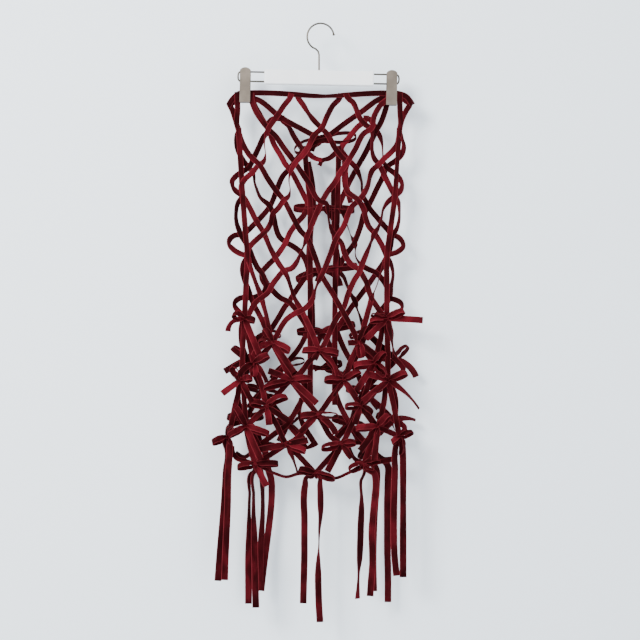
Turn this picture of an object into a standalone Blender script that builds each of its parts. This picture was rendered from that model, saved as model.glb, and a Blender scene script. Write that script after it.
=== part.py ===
"""Net skirt of velvet ribbon, hung flat on a white bar hanger with two clips.

The skirt is a tube of ribbon net. Its knots are counted in 16 half columns: 0 at the centre front,
4 at each side, 8 at each edge of the centre-back opening, with minus signs on the left as the front
is seen. Rows run from 0 at the waist to 11 at the hem, and a knot is tied where column + row is
odd. Front is -Y, up is +Z, and the origin is the point inside the hanger's hook where it rests.
"""

import math
from collections import namedtuple

import bmesh
import bpy
from mathutils import Matrix, Vector

MM = 0.001
GAP = 0.3 * MM  # what pieces that touch keep between them

# ---------------------------------------------------------------- driving dimensions

RIBBON_WIDTH = 10 * MM
LONG_END_WIDTH = 11.4 * MM  # below the hem, where nothing pulls the ribbon narrow
RIBBON_THICK = 1.2 * MM
WAIST_Z = -128 * MM  # height of the waistband's middle
HEM_ROW = 11
KNOT_HALF_HEIGHT = 6.3 * MM  # a crossing is a rhombus whose edges are as long as the ribbon is wide
KNOT_HALF_WIDTH = 7.75 * MM
STRAIGHT_STEPS = 3  # sections along a plain stretch of net ribbon
CURVED_STEPS = 5  # sections along one that bows out or turns on edge

# Front crossings. drop: below the waist at the side seams; sag: how much lower the middle hangs.
# The others are distances from the middle line, for columns 4 and 2 in odd rows, and 3 and 1 in
# even ones. mid is column 0.
FrontRow = namedtuple("FrontRow", "drop sag outer_left inner_left mid inner_right outer_right")
FRONT_ROWS = (
    FrontRow(0, 0, 121, 41, 0, 44, 119),
    FrontRow(60, -5, 143, 91, 2, 88, 138),
    FrontRow(120, -4, 107, 44, 0, 46, 102),
    FrontRow(173, 11, 136, 64, 2, 66, 130),
    FrontRow(231, 16, 99, 24, 0, 28, 94),
    FrontRow(279, 33, 128, 64, 2, 69, 116),
    FrontRow(332, 44, 103, 33, 0, 38, 89),
    FrontRow(387, 56, 133, 84, -1, 67, 116),
    FrontRow(440, 58, 116, 51, 0, 40, 94),
    FrontRow(495, 60, 139, 94, -5, 70, 119),
    FrontRow(549, 61, 130, 59, 0, 37, 100),
    FrontRow(594, 63, 162, 114, -9, 75, 139),
)

# Back crossings: columns 6 and 8 in odd rows, 5 and 7 in even ones, outer and inner.
BackRow = namedtuple("BackRow", "outer_drop inner_drop outer_left inner_left inner_right outer_right")
BACK_ROWS = (
    BackRow(4, 36, 118, 68, 80, 117),
    BackRow(57, 91, 91, 28, 32, 98),
    BackRow(122, 124, 126, 55, 63, 116),
    BackRow(190, 188, 89, 18, 30, 84),
    BackRow(240, 253, 140, 61, 60, 126),
    BackRow(307, 303, 103, 18, 26, 98),
    BackRow(351, 358, 122, 56, 61, 121),
    BackRow(412, 407, 91, 18, 25, 81),
    BackRow(458, 467, 129, 60, 56, 131),
    BackRow(515, 510, 101, 19, 21, 77),
    BackRow(564, 572, 133, 58, 52, 128),
    BackRow(610, 614, 108, 23, 17, 84),
)

# How far each column stands from the plane of the side seams: forward in front, backward behind.
COLUMN_DEPTH = {0: 10, 1: 10, 2: 9, 3: 5.5, 4: 0.95, 5: 6, 6: 8, 7: 8, 8: 8}
ROW_0_DEPTH = {1: 4.4, 3: 2.4, 4: 2.4, 5: 2.6, 7: 4.9}
ROW_1_SHARE = 0.65  # row 1 stands out by less, because the clips hold the waist flat
WAIST_FLAT = 0.25  # the share of a ribbon's length below the waist that the clips' lips hold flat

# Stretches of ribbon that turn on edge between two knots, by the knot they leave: to column, and
# degrees of turn.
Turned = namedtuple("Turned", "column row to degrees")
TURNED = (
    Turned(-2, 1, -3, 78), Turned(-1, 2, -2, 78), Turned(2, 1, 3, 72), Turned(3, 2, 2, 60),
    Turned(1, 2, 2, 30), Turned(4, 3, 3, -45), Turned(-1, 4, -2, 65), Turned(0, 5, -1, 60),
    Turned(2, 5, 3, 66), Turned(-2, 5, -1, 40), Turned(0, 3, 1, 62), Turned(-5, 2, -6, 72),
    Turned(8, 3, 7, 60), Turned(7, 2, 6, 66), Turned(-7, 4, -8, 50), Turned(-6, 5, -7, 60),
    Turned(6, 3, 5, 40), Turned(7, 4, 8, 50), Turned(5, 4, 6, 55),
)

# How far the ribbons between columns 4 and 5 bow out past the side, by the row they leave.
SIDE_BOW = {0: 6, 1: 4, 2: 24, 3: 9, 4: 26, 5: 8, 6: 23, 7: 8, 8: 20, 9: 8, 10: 14}

# The arms of a bow. angle: the degrees an arm points to, anticlockwise from the right as the front
# is seen; length: in millimetres; turn: the degrees its ribbon is turned on edge. A long end hangs
# below the hem: it swings to one place and hangs down to its foot, and step is how far it lies in
# front of the bow's plane.
Loop = namedtuple("Loop", "angle length turn", defaults=(0,))
End = namedtuple("End", "angle length turn", defaults=(0,))
LongEnd = namedtuple("LongEnd", "angle swing foot_x foot_z turn step", defaults=(0, 0))

# ---------------------------------------------------------------- colours

VELVET = ("burgundy_velvet", (0.105, 0.006, 0.012), 0.8, 0.0)
VELVET_SHADE = ("burgundy_velvet_back", (0.075, 0.004, 0.009), 0.8, 0.0)
WHITE_PAINT = ("white_painted_wood", (0.82, 0.83, 0.84), 0.45, 0.0)
METAL = ("brushed_nickel", (0.62, 0.60, 0.56), 0.35, 1.0)


def new_collection(name):
    made = bpy.data.collections.new(name)
    bpy.context.scene.collection.children.link(made)
    return made


def material(look):
    """A Principled material from (name, colour, roughness, metallic), made once."""
    name, colour, roughness, metallic = look
    made = bpy.data.materials.get(name)
    if made is None:
        made = bpy.data.materials.new(name)
        made.use_nodes = True
        shader = made.node_tree.nodes["Principled BSDF"]
        shader.inputs["Base Color"].default_value = (*colour, 1.0)
        shader.inputs["Roughness"].default_value = roughness
        shader.inputs["Metallic"].default_value = metallic
    return made


def add_object(name, data, look):
    made = bpy.data.objects.new(name, data)
    data.materials.append(material(look))
    SKIRT.objects.link(made)
    return made


# ---------------------------------------------------------------- ribbon surfaces


class Surface:
    """An open surface that grows by vertices and faces, and becomes a closed ribbon by Solidify."""

    def __init__(self):
        self.points = []
        self.faces = []
        self.thick = []

    def point(self, place, thick=RIBBON_THICK):
        self.points.append(Vector(place))
        self.thick.append(thick)
        return len(self.points) - 1

    def strip(self, left, right):
        """Quads between two rows of vertex indices; the surface faces the side where left is on the
        left."""
        for k in range(len(left) - 1):
            self.faces.append((right[k], left[k], left[k + 1], right[k + 1]))

    def solid(self, name, look):
        mesh = bpy.data.meshes.new(name)
        mesh.from_pydata(self.points, [], self.faces)
        made = add_object(name, mesh, look)
        thickest = max(self.thick)
        group = made.vertex_groups.new(name="thickness")
        for index, thick in enumerate(self.thick):
            group.add([index], thick / thickest, "REPLACE")
        shell = made.modifiers.new("ribbon thickness", "SOLIDIFY")
        shell.thickness = thickest
        shell.offset = 0.0
        shell.vertex_group = group.name
        return made


def ease(t):
    return t * t * (3 - 2 * t)


def curve_points(places, count):
    """count + 1 points at even steps of parameter along a Catmull-Rom curve through places."""
    ends = [places[0] * 2 - places[1], *places, places[-1] * 2 - places[-2]]
    spans = len(places) - 1
    found = []
    for k in range(count + 1):
        span = min(int(k * spans / count), spans - 1)
        t = k * spans / count - span
        a, b, c, d = ends[span : span + 4]
        found.append(
            0.5 * (2 * b + (c - a) * t + (2 * a - 5 * b + 4 * c - d) * t**2 + (3 * b - a - 3 * c + d) * t**3)
        )
    return found


def tangent(path, k):
    return (path[min(k + 1, len(path) - 1)] - path[max(k - 1, 0)]).normalized()


def ribbon(name, look, places, steps, turn=lambda t: 0.0, width=RIBBON_WIDTH):
    """A ribbon along the curve through places. It faces forward where turn(t) is 0 degrees."""
    surface = Surface()
    left, right = [], []
    path = curve_points([Vector(p) for p in places], steps)
    for k, centre in enumerate(path):
        along = tangent(path, k)
        across = along.cross(Vector((0, 1, 0))).normalized()
        across = Matrix.Rotation(math.radians(turn(k / steps)), 3, along) @ across
        left.append(surface.point(centre - across * width / 2))
        right.append(surface.point(centre + across * width / 2))
    surface.strip(left, right)
    return surface.solid(name, look)


# ---------------------------------------------------------------- the net


def crossing(column, row):
    """Where the knot of this column and row sits."""
    side = "left" if column < 0 else "right"
    sign = -1 if column < 0 else 1
    far = abs(column)
    if far > 4:
        line = BACK_ROWS[row]
        place = "outer" if far < 7 and (row % 2 == 0 or far == 6) else "inner"
        x = sign * getattr(line, f"{place}_{side}")
        drop = getattr(line, f"{place}_drop")
        depth = COLUMN_DEPTH[far]
    else:
        line = FRONT_ROWS[row]
        place = "outer" if far > 2 else "inner"
        x = line.mid if far == 0 else sign * getattr(line, f"{place}_{side}")
        drop = line.drop + line.sag * (1 - (far / 4) ** 2)
        depth = -COLUMN_DEPTH[far]
    if row == 0:
        depth = math.copysign(ROW_0_DEPTH[far], depth)
    elif row == 1 and far not in (4, 8):
        depth *= ROW_1_SHARE
    if row == 0 and far == 4:
        x = sign * CLIP_OUTER_HOLD
    return Vector((x * MM, depth * MM, WAIST_Z - drop * MM))


CLIP_OUTER_HOLD = 139  # where the ribbons to the side knots come out of the clips


def behind(place):
    """The same knot's place in the back net, where the nets meet at the sides."""
    return Vector((place.x, -place.y, place.z))


class Net:
    """A net of ribbon: a rhombus at each crossing and strips between them, in one surface."""

    def __init__(self, is_back):
        self.surface = Surface()
        self.is_back = is_back
        self.corners = {}

    def knot(self, column, row):
        key = (column, row)
        if key not in self.corners:
            place = crossing(column, row)
            if self.is_back and abs(column) <= 4:
                place = behind(place)
            top, bottom = Vector((0, 0, KNOT_HALF_HEIGHT)), Vector((0, 0, -KNOT_HALF_HEIGHT))
            left, right = Vector((-KNOT_HALF_WIDTH, 0, 0)), Vector((KNOT_HALF_WIDTH, 0, 0))
            found = {
                "top": self.surface.point(place + top),
                "left": self.surface.point(place + left),
                "bottom": self.surface.point(place + bottom),
                "right": self.surface.point(place + right),
            }
            self.surface.faces.append(tuple(found.values()))
            self.corners[key] = found
        return self.corners[key]

    def depth_share(self, start, end, t):
        """How much of the change in depth is made by t: the net stays flat in the clips and beside a
        side ribbon."""
        if start[1] == 0 and 4 not in (abs(start[0]), abs(end[0])):
            return ease(max(0.0, (t - WAIST_FLAT) / (1 - WAIST_FLAT)))
        if abs(start[0]) == 4 and not self.is_back:
            return ease(max(0.0, 2 * t - 1))
        if abs(end[0]) == 4 and not self.is_back:
            return ease(min(1.0, 2 * t))
        return ease(t)

    def ribbon_between(self, start, end, leaves, arrives, turn=0.0, bow=0.0):
        """A strip from a lower edge of one crossing to an upper edge of the next.

        leaves and arrives say on which side, "left" or "right". turn is the degrees it turns on
        edge half way, bow the distance by which it bows out to the side that it leaves by.
        """
        one, two = self.knot(*start), self.knot(*end)
        points = self.surface.points
        outer = (one[leaves], two["top"] if leaves != arrives else two[arrives])
        inner = (one["bottom"], two[arrives] if leaves != arrives else two["top"])
        begin = (points[outer[0]] + points[inner[0]]) / 2
        finish = (points[outer[1]] + points[inner[1]]) / 2
        first_across = (points[outer[0]] - points[inner[0]]) / 2
        last_across = (points[outer[1]] - points[inner[1]]) / 2
        side = -1 if leaves == "left" else 1
        steps = CURVED_STEPS if turn or bow else STRAIGHT_STEPS
        path = []
        for k in range(steps + 1):
            t = k / steps
            place = begin.lerp(finish, t)
            place.y = begin.y + (finish.y - begin.y) * self.depth_share(start, end, t)
            place.x += side * bow * math.sin(math.pi * t)
            path.append(place)
        outer_row, inner_row = [outer[0]], [inner[0]]
        for k in range(1, steps):
            t = k / steps
            along = tangent(path, k)
            across = first_across.lerp(last_across, t)
            across = (across - along * across.dot(along)).normalized() * RIBBON_WIDTH / 2
            angle = math.radians(turn) * math.sin(math.pi * t) ** 6
            across = Matrix.Rotation(angle, 3, along) @ across
            outer_row.append(self.surface.point(path[k] + across))
            inner_row.append(self.surface.point(path[k] - across))
        outer_row.append(outer[1])
        inner_row.append(inner[1])
        if leaves == "left":
            self.surface.strip(outer_row, inner_row)
        else:
            self.surface.strip(inner_row, outer_row)


def turned(column, row, to):
    for line in TURNED:
        if (line.column, line.row, line.to) == (column, row, to):
            return line.degrees
    return 0.0


def outward(column):
    """The side of a knot that faces its side seam."""
    return "left" if column < 0 else "right"


def inward(column):
    return "right" if column < 0 else "left"


def front_net():
    net = Net(is_back=False)
    for row in range(HEM_ROW):
        for column in range(-4, 5):
            if (column + row) % 2 == 0:
                continue
            for to in (column - 1, column + 1):
                if abs(to) > 4 or (row == 0 and abs(to) == 4):
                    continue
                leaves, arrives = ("left", "right") if to < column else ("right", "left")
                net.ribbon_between((column, row), (to, row + 1), leaves, arrives, turned(column, row, to))
    for column in (-4, 4):
        side = outward(column)
        net.ribbon_between((column, 0), (column, 1), side, side)
    return net.surface.solid("net_front", VELVET)


def back_net(sign, name):
    net = Net(is_back=True)
    for row in range(HEM_ROW):
        for far in range(4, 9):
            if (far + row) % 2 == 0:
                continue
            for to in (far - 1, far + 1):
                if not 4 <= to <= 8 or (row == 0 and to == 4):
                    continue
                column, to = sign * far, sign * to
                if far == 4 or abs(to) == 4:
                    side = outward(column)
                    bow = SIDE_BOW[row] * MM
                    net.ribbon_between((column, row), (to, row + 1), side, side, 0.0, bow)
                elif abs(to) > far:
                    turn = turned(column, row, to)
                    net.ribbon_between((column, row), (to, row + 1), inward(column), outward(column), turn)
                else:
                    turn = turned(column, row, to)
                    net.ribbon_between((column, row), (to, row + 1), outward(column), inward(column), turn)
    side = outward(sign)
    net.ribbon_between((sign * 4, 0), (sign * 4, 1), side, side, 0.0, SIDE_BOW[0] * MM)
    return net.surface.solid(name, VELVET_SHADE)


# ---------------------------------------------------------------- waistband, side, placket and hem ribbons

BACK_TIE_X = 3 * MM  # the back opening's middle line
BACK_BAND_END = 2.8 * MM  # from that line to each end of the band, under the tie's knot
BACK_BAND_Y = 2.9 * MM

# Half of the waistband in front and behind, outwards from the middle, in millimetres. The clips
# hold it at x 121 to 142.
BandPoint = namedtuple("BandPoint", "x y z")
BAND_FRONT = (
    BandPoint(50, -2.5, -125),
    BandPoint(121, -0.95, -121.5),
    BandPoint(142, -0.95, -121.5),
    BandPoint(158, -0.95, -137.5),
)
BAND_FRONT_MIDDLE = BandPoint(0, -2.5, -125.5)
BAND_BACK = (
    BandPoint(72, 2.9, -157.5),
    BandPoint(112, 0.95, -131.5),
    BandPoint(140, 0.95, -127),
    BandPoint(158, 0.95, -139),
)
BACK_TIE_Z = -201 * MM  # where the band's ends meet behind
BAND_TURN = 50  # degrees that the front band turns on edge at its middle
BAND_TURN_SHARE = 0.1  # how far that turn reaches to each side, as a share of the band's length


def band_turn(t):
    return BAND_TURN * math.cos(min(1.0, abs(t - 0.5) / BAND_TURN_SHARE) * math.pi / 2) ** 2


def waistband():
    """The band runs level in front, folds over outside each clip and comes back in a V to the
    centre back."""
    left_half = [Vector((-p.x, p.y, p.z)) * MM for p in reversed(BAND_FRONT)]
    front = [*left_half, Vector(BAND_FRONT_MIDDLE) * MM, *(Vector(p) * MM for p in BAND_FRONT)]
    ribbon("waistband_front", VELVET, front, 24, band_turn)
    for sign, side in ((-1, "left"), (1, "right")):
        back = [Vector((sign * p.x, p.y, p.z)) * MM for p in reversed(BAND_BACK)]
        back.append(Vector((BACK_TIE_X + sign * BACK_BAND_END, BACK_BAND_Y, BACK_TIE_Z)))
        ribbon(f"waistband_back_{side}", VELVET_SHADE, back, 14)


SIDE_RIBBON_Y = -2.7 * MM


def side_ribbons():
    for sign, side in ((-1, "left"), (1, "right")):
        places = [crossing(sign * 4, row) for row in range(1, HEM_ROW + 1, 2)]
        places = [Vector((p.x, SIDE_RIBBON_Y, p.z)) for p in places]
        places[0].z += KNOT_HALF_HEIGHT
        places[-1].z -= KNOT_HALF_HEIGHT
        ribbon(f"side_ribbon_{side}", VELVET, places, 12)


# Ties of the back opening, from the waist down: height in millimetres, and the bow's arms.
Tie = namedtuple("Tie", "name height arms")
TIES = (
    Tie("tie_waist", -201, (Loop(199, 46, 40), Loop(6, 56, 40), End(250, 18), End(-62, 18))),
    Tie("tie_1", -236, (Loop(180, 18), Loop(0, 18), End(236, 18), End(-56, 20))),
    Tie("tie_2", -322, (Loop(178, 48), Loop(-1, 50), End(236, 18), End(-52, 26))),
    Tie("tie_3", -432, (Loop(194, 45, 30), Loop(6, 56), End(246, 20), End(-52, 28))),
    Tie("tie_4", -537, (Loop(180, 44), Loop(16, 56), End(236, 24), End(-66, 26))),
    Tie("tie_5", -601, (Loop(175, 26), Loop(8, 28), End(240, 24), End(-56, 24))),
)
PLACKET_TOP_Z = -212 * MM
PLACKET_END_Z = (-655 * MM, -667 * MM)  # of the left and the right edge ribbon
PLACKET_Y = 8 * MM - RIBBON_THICK - GAP - 0.1 * MM
STRAP_MIDDLE_Y = 8.1 * MM  # the straps rise to here, in front of the ties' knots
STRAP_FLAT = 4 * MM  # how far a strap stays flat before it rises and narrows
STRAP_END_HALF = 2.6 * MM
STRAP_END_GAP = 0.3 * MM


def placket_x(sign, height):
    """The middle of an opening edge: it runs from knot to knot, and straight down past the last."""
    knots = [crossing(sign * 8, row) for row in (1, 3, 5, 7)]
    for above, below in zip(knots, knots[1:]):
        if below.z <= height <= above.z:
            return above.x + (below.x - above.x) * ease((above.z - height) / (above.z - below.z))
    return knots[0].x if height > knots[0].z else knots[-1].x


def placket_ribbons():
    """Each edge of the opening has a ribbon, with a strap to the middle for each tie below the waist."""
    half = RIBBON_WIDTH / 2
    tied = [line.height * MM for line in TIES[1:]]
    for sign, side, end_z in ((-1, "left", PLACKET_END_Z[0]), (1, "right", PLACKET_END_Z[1])):
        heights = [PLACKET_TOP_Z, end_z]
        for above, below in zip([PLACKET_TOP_Z, *tied], [*tied, end_z]):
            heights.append((above + below) / 2)
        for height in tied:
            heights += [height + half, height - half]
        heights.sort(reverse=True)
        surface = Surface()
        left, right = [], []
        for z in heights:
            x = placket_x(sign, z)
            left.append(surface.point((x - half, PLACKET_Y, z)))
            right.append(surface.point((x + half, PLACKET_Y, z)))
        surface.strip(left, right)
        inner = right if sign < 0 else left
        for height in tied:
            top = inner[heights.index(height + half)]
            bottom = inner[heights.index(height - half)]
            tops, bottoms = [top], [bottom]
            start_x = placket_x(sign, height) - sign * (half + STRAP_FLAT)
            end_x = BACK_TIE_X + sign * STRAP_END_GAP
            for x, y, reach in ((start_x, PLACKET_Y, half), (end_x, STRAP_MIDDLE_Y, STRAP_END_HALF)):
                tops.append(surface.point((x, y, height + reach)))
                bottoms.append(surface.point((x, y, height - reach)))
            if sign < 0:
                surface.strip(bottoms, tops)
            else:
                surface.strip(tops, bottoms)
        surface.solid(f"placket_ribbon_{side}", VELVET_SHADE)


HEM_BEHIND_KNOT = RIBBON_THICK + GAP
HEM_SAG = 9 * MM  # how far the hem ribbon hangs between two knots
HEM_AFTER_KNOT = 38 * MM  # from a front knot to where it hangs lowest
# Where the hem ribbons end beside the side knots: inwards from the knot, depth and height below it.
HEM_END_LEFT = Vector((9, -2.5, -14)) * MM
HEM_END_RIGHT = Vector((-7, -2.5, -14)) * MM
HEM_END_BACK_LEFT = Vector((19, 3.2, -10)) * MM
HEM_END_BACK_RIGHT = Vector((-18, 3.2, -10)) * MM


def hem_ribbons():
    """The hem ribbon hangs from knot to knot, in front and behind."""
    first, last = crossing(-4, HEM_ROW), crossing(4, HEM_ROW)
    first.y = last.y = 0
    sag = Vector((0, 0, -HEM_SAG))
    front = []
    for column in (-2, 0, 2):
        place = crossing(column, HEM_ROW) + Vector((0, HEM_BEHIND_KNOT, 0))
        front += [place, place + Vector((HEM_AFTER_KNOT, 0, 0)) + sag]
    front.pop()
    front = [first + HEM_END_LEFT, (first + front[0]) / 2 + sag, *front, (last + front[-1]) / 2 + sag]
    front.append(last + HEM_END_RIGHT)
    ribbon("hem_ribbon_front", VELVET, front, 20)
    back = [crossing(column, HEM_ROW) - Vector((0, HEM_BEHIND_KNOT, 0)) for column in (-6, -8, 8, 6)]
    back = [first + HEM_END_BACK_LEFT, *back, last + HEM_END_BACK_RIGHT]
    ribbon("hem_ribbon_back", VELVET_SHADE, back, 16)


# ---------------------------------------------------------------- bows

BOW_KNOT_REACH = 4.6 * MM  # from a bow's middle to where its loops and ends leave the knot
BOW_KNOT_HALF = 1.7 * MM  # half the width of the gathered ribbon there
BOW_SPREAD = 0.37  # how fast the gathered ribbon spreads: its half width for each unit from the bow's middle
BOW_KNOT_THICK = 4.2 * MM
LOOP_STEPS = 6
LIFT_RATE = 1.7  # a loop reaches its bow's plane after 1/1.7 of its length
LOOP_SWEEP = 300  # degrees of its teardrop that a loop makes before it tucks in behind the knot
LOOP_SIDE = 1.25 * MM  # from a loop's middle plane to each of its sides at the knot
LOOP_FLAT = 0.5 * MM  # how much further a flat loop's two sides stand apart in the middle
LOOP_OPEN = 15 * MM  # the same for a loop that is seen from its edge

END_SHARES = (0.3, 0.65, 1.0)  # where an end's sections are, along its length
END_DROOP = 3 * MM
LONG_STEPS = 7
SWING_DROP = 45 * MM  # a long end has swung aside this far below its knot
FOOT_SHARE = 0.45  # where its middle point is, from the swing to the foot
STEP_RATE = 4  # it reaches its own plane after a quarter of its length
TURN_RATE = 1.15  # it lies flat again a little above its foot


def unit(angle):
    return Vector((math.cos(math.radians(angle)), 0, math.sin(math.radians(angle))))


def bow(name, look, place, facing, lift, arms):
    """A bow: a thick knot, and from its edge each loop and end.

    facing is -1 for a bow on the front and 1 for one behind. The arms stand lift out from the
    knot's plane once they are clear of it, so that neighbouring bows pass over each other.
    """
    surface = Surface()
    out = Vector((0, facing, 0))
    makers = {Loop: loop_sections, End: end_sections, LongEnd: long_sections}
    ring = []
    for arm in sorted(arms, key=lambda arm: arm.angle % 360):
        direction = unit(arm.angle)
        across = Vector((-direction.z, 0, direction.x))
        root = place + direction * BOW_KNOT_REACH
        first = surface.point(root - across * BOW_KNOT_HALF, BOW_KNOT_THICK)
        second = surface.point(root + across * BOW_KNOT_HALF, BOW_KNOT_THICK)
        ring += [first, second]
        firsts, seconds = [first], [second]
        for centre, half in makers[type(arm)](arm, place, direction, across, out, lift):
            firsts.append(surface.point(centre - half))
            seconds.append(surface.point(centre + half))
        surface.strip(firsts, seconds)
    surface.faces.append(tuple(ring))
    return surface.solid(name, look)


def half_width(reach, width=RIBBON_WIDTH):
    return min(width / 2, BOW_SPREAD * reach)


def loop_sections(arm, place, direction, across, out, lift):
    """A teardrop: along it goes out and comes back, and its two sides stand apart in the middle."""
    roll = Matrix.Rotation(math.radians(arm.turn), 3, direction)
    opening = roll @ out
    wide = roll @ across
    edge = math.sin(math.radians(abs(arm.turn)))
    apart = LOOP_FLAT + (LOOP_OPEN - LOOP_FLAT) * edge
    found = []
    for k in range(1, LOOP_STEPS + 1):
        angle = math.radians(LOOP_SWEEP * k / LOOP_STEPS)
        share = (1 - math.cos(angle)) / 2
        reach = BOW_KNOT_REACH + arm.length * MM * share
        tuck = math.copysign(math.sqrt(abs(math.cos(angle / 2))), math.cos(angle / 2))
        swell = math.sin(angle) * math.sqrt(math.sin(angle / 2)) * apart / 2 + LOOP_SIDE * tuck
        half = half_width(reach)
        height = lift * min(1.0, share * LIFT_RATE) + half * edge
        centre = place + direction * reach + out * height + opening * swell
        found.append((centre, wide * half))
    return found


def end_sections(arm, place, direction, across, out, lift):
    """A short end: it runs out from the knot and droops a little."""
    wide = Matrix.Rotation(math.radians(arm.turn), 3, direction) @ across
    edge = math.sin(math.radians(abs(arm.turn)))
    found = []
    for share in END_SHARES:
        reach = BOW_KNOT_REACH + arm.length * MM * share
        half = half_width(reach)
        height = lift * min(1.0, share * LIFT_RATE) + half * edge
        centre = place + direction * reach + out * height - Vector((0, 0, END_DROOP * share * share))
        found.append((centre, wide * half))
    return found


def long_sections(arm, place, direction, across, out, lift):
    """Down from the knot to a cut end: a quick swing aside, then a slow drift back."""
    start = place + direction * BOW_KNOT_REACH
    swing = Vector((arm.swing * MM, start.y, start.z - SWING_DROP))
    foot = Vector((arm.foot_x * MM, start.y, arm.foot_z * MM))
    middle = swing.lerp(foot, FOOT_SHARE)
    path = curve_points([start, swing, middle, foot], LONG_STEPS)
    found = []
    for k in range(1, LONG_STEPS + 1):
        share = k / LONG_STEPS
        along = tangent(path, k)
        wide = along.cross(Vector((0, 1, 0))).normalized()
        if wide.dot(across) < 0:
            wide = -wide
        turn = math.radians(arm.turn) * math.sin(math.pi * min(1.0, share * TURN_RATE))
        half = half_width((path[k] - place).length, LONG_END_WIDTH)
        height = (lift + arm.step * MM) * ease(min(1.0, share * STEP_RATE)) + half * abs(math.sin(turn))
        found.append((path[k] + out * height, Matrix.Rotation(turn, 3, along) @ wide * half))
    return found


# plane: how far forward, or backward, of the side seams a bow's loops lie. Neighbours lie in different
# planes.
NEAR, MIDDLE, FAR, FARTHEST = 16.4, 20.6, 24.8, 29.0
Bow = namedtuple("Bow", "column row plane arms")
FRONT_BOWS = (
    Bow(-4, 7, MIDDLE, (Loop(155, 20, 60), Loop(8, 16), End(205, 26), End(-65, 50, 30))),
    Bow(-2, 7, NEAR, (Loop(-20, 36), Loop(125, 22), End(225, 26), End(-63, 44))),
    Bow(0, 7, MIDDLE, (Loop(178, 30), Loop(0, 30, 50), End(-64, 38, 20), End(225, 30))),
    Bow(2, 7, NEAR, (Loop(60, 29), Loop(-82, 24), End(176, 16), End(-32, 32))),
    Bow(4, 7, MIDDLE, (Loop(177, 28, 60), Loop(42, 26), End(-6, 54), End(-70, 46, 30))),
    Bow(-3, 8, FARTHEST, (Loop(35, 28), Loop(-90, 19), End(-42, 34), End(192, 20))),
    Bow(-1, 8, FAR, (Loop(11, 34), Loop(196, 40), End(150, 34), End(-37, 54))),
    Bow(1, 8, FAR, (Loop(175, 30), Loop(32, 29), End(-65, 34), End(235, 30))),
    Bow(3, 8, FARTHEST, (Loop(183, 34), Loop(50, 24), End(-45, 30, 30), End(233, 44))),
    Bow(-4, 9, MIDDLE, (Loop(150, 28, 30), Loop(15, 20), End(212, 38), End(-55, 30))),
    Bow(-2, 9, NEAR, (Loop(45, 34), Loop(150, 26), End(-85, 28), End(-30, 36))),
    Bow(0, 9, MIDDLE, (Loop(175, 28), Loop(3, 33, 70), End(-50, 34), End(232, 30))),
    Bow(2, 9, NEAR, (Loop(50, 32), Loop(176, 25), End(-50, 24), End(250, 24))),
    Bow(4, 9, MIDDLE, (Loop(27, 30), End(156, 28), End(-36, 58), End(212, 34))),
    Bow(-3, 10, FARTHEST, (Loop(201, 32), Loop(-18, 38), End(120, 34), End(-64, 54))),
    Bow(-1, 10, FAR, (Loop(-16, 32), Loop(36, 26), End(186, 42), End(236, 36))),
    Bow(1, 10, FAR, (Loop(191, 34, 70), Loop(18, 22), End(240, 44), End(-50, 32))),
    Bow(3, 10, FARTHEST, (Loop(178, 31), Loop(10, 26), End(229, 42), End(-65, 30))),
    Bow(-4, 11, MIDDLE, (Loop(198, 25), Loop(75, 18),
                         LongEnd(246, -171, -178, -970), LongEnd(-52, -152, -166, -968, 0, 3.4))),
    Bow(-2, 11, NEAR, (Loop(186, 26), Loop(42, 28), End(-5, 30),
                       LongEnd(245, -124, -126, -1010, 30), LongEnd(-52, -97, -111, -1016, 0, 4.6))),
    Bow(0, 11, MIDDLE, (Loop(167, 28), Loop(-12, 36, 60),
                        LongEnd(240, -28, -30, -1009, 35), LongEnd(-62, 0, -1, -1041, 50))),
    Bow(2, 11, NEAR, (Loop(195, 22, 50), Loop(20, 26),
                      LongEnd(245, 71, 64, -1001, 60), LongEnd(-52, 95, 86, -997, 20))),
    Bow(4, 11, MIDDLE, (Loop(14, 24, 60), Loop(160, 16),
                        LongEnd(240, 127, 132, -961), LongEnd(-60, 148, 143, -963, 10, 3.4))),
)

# Most bows behind repeat three shapes, as a hand that ties one after another does.
BACK_SHAPES = (
    (Loop(170, 30), Loop(12, 30), End(258, 34), End(-48, 34)),
    (Loop(190, 28), Loop(30, 30), End(240, 30), End(-40, 40)),
    (Loop(160, 30), Loop(-12, 28), End(220, 34), End(-62, 34)),
)
BACK_BOWS = (
    Bow(-6, 7, NEAR, BACK_SHAPES[0]), Bow(6, 7, NEAR, BACK_SHAPES[1]),
    Bow(-5, 8, MIDDLE, BACK_SHAPES[2]), Bow(-7, 8, FAR, BACK_SHAPES[2]),
    Bow(5, 8, MIDDLE, (Loop(48, 28, 45), Loop(170, 26), End(-40, 42), End(232, 30))),
    Bow(-6, 9, NEAR, BACK_SHAPES[2]), Bow(6, 9, NEAR, BACK_SHAPES[0]),
    Bow(-5, 10, MIDDLE, BACK_SHAPES[0]), Bow(-7, 10, FAR, BACK_SHAPES[1]), Bow(7, 10, FAR, BACK_SHAPES[2]),
    Bow(5, 10, MIDDLE, (Loop(-62, 28, 35), Loop(165, 28), End(-9, 34), End(225, 30))),
    Bow(-6, 11, NEAR, (Loop(170, 28), Loop(15, 28),
                       LongEnd(235, -105, -108, -977, 30), LongEnd(-55, -87, -103, -996, 0, 4.6))),
    Bow(6, 11, NEAR, (Loop(165, 28), Loop(12, 28),
                      LongEnd(240, 96, 94, -996, 20), LongEnd(-50, 119, 119, -1016, 0, 1.5))),
)


def bow_middle(column, row, facing):
    """A bow's middle: in front of its crossing, or of the side ribbon where one lies on the crossing."""
    place = crossing(column, row)
    surface_y = SIDE_RIBBON_Y if abs(column) == 4 else place.y
    away = RIBBON_THICK / 2 + GAP + BOW_KNOT_THICK / 2
    return Vector((place.x, surface_y + facing * away, place.z))


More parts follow.
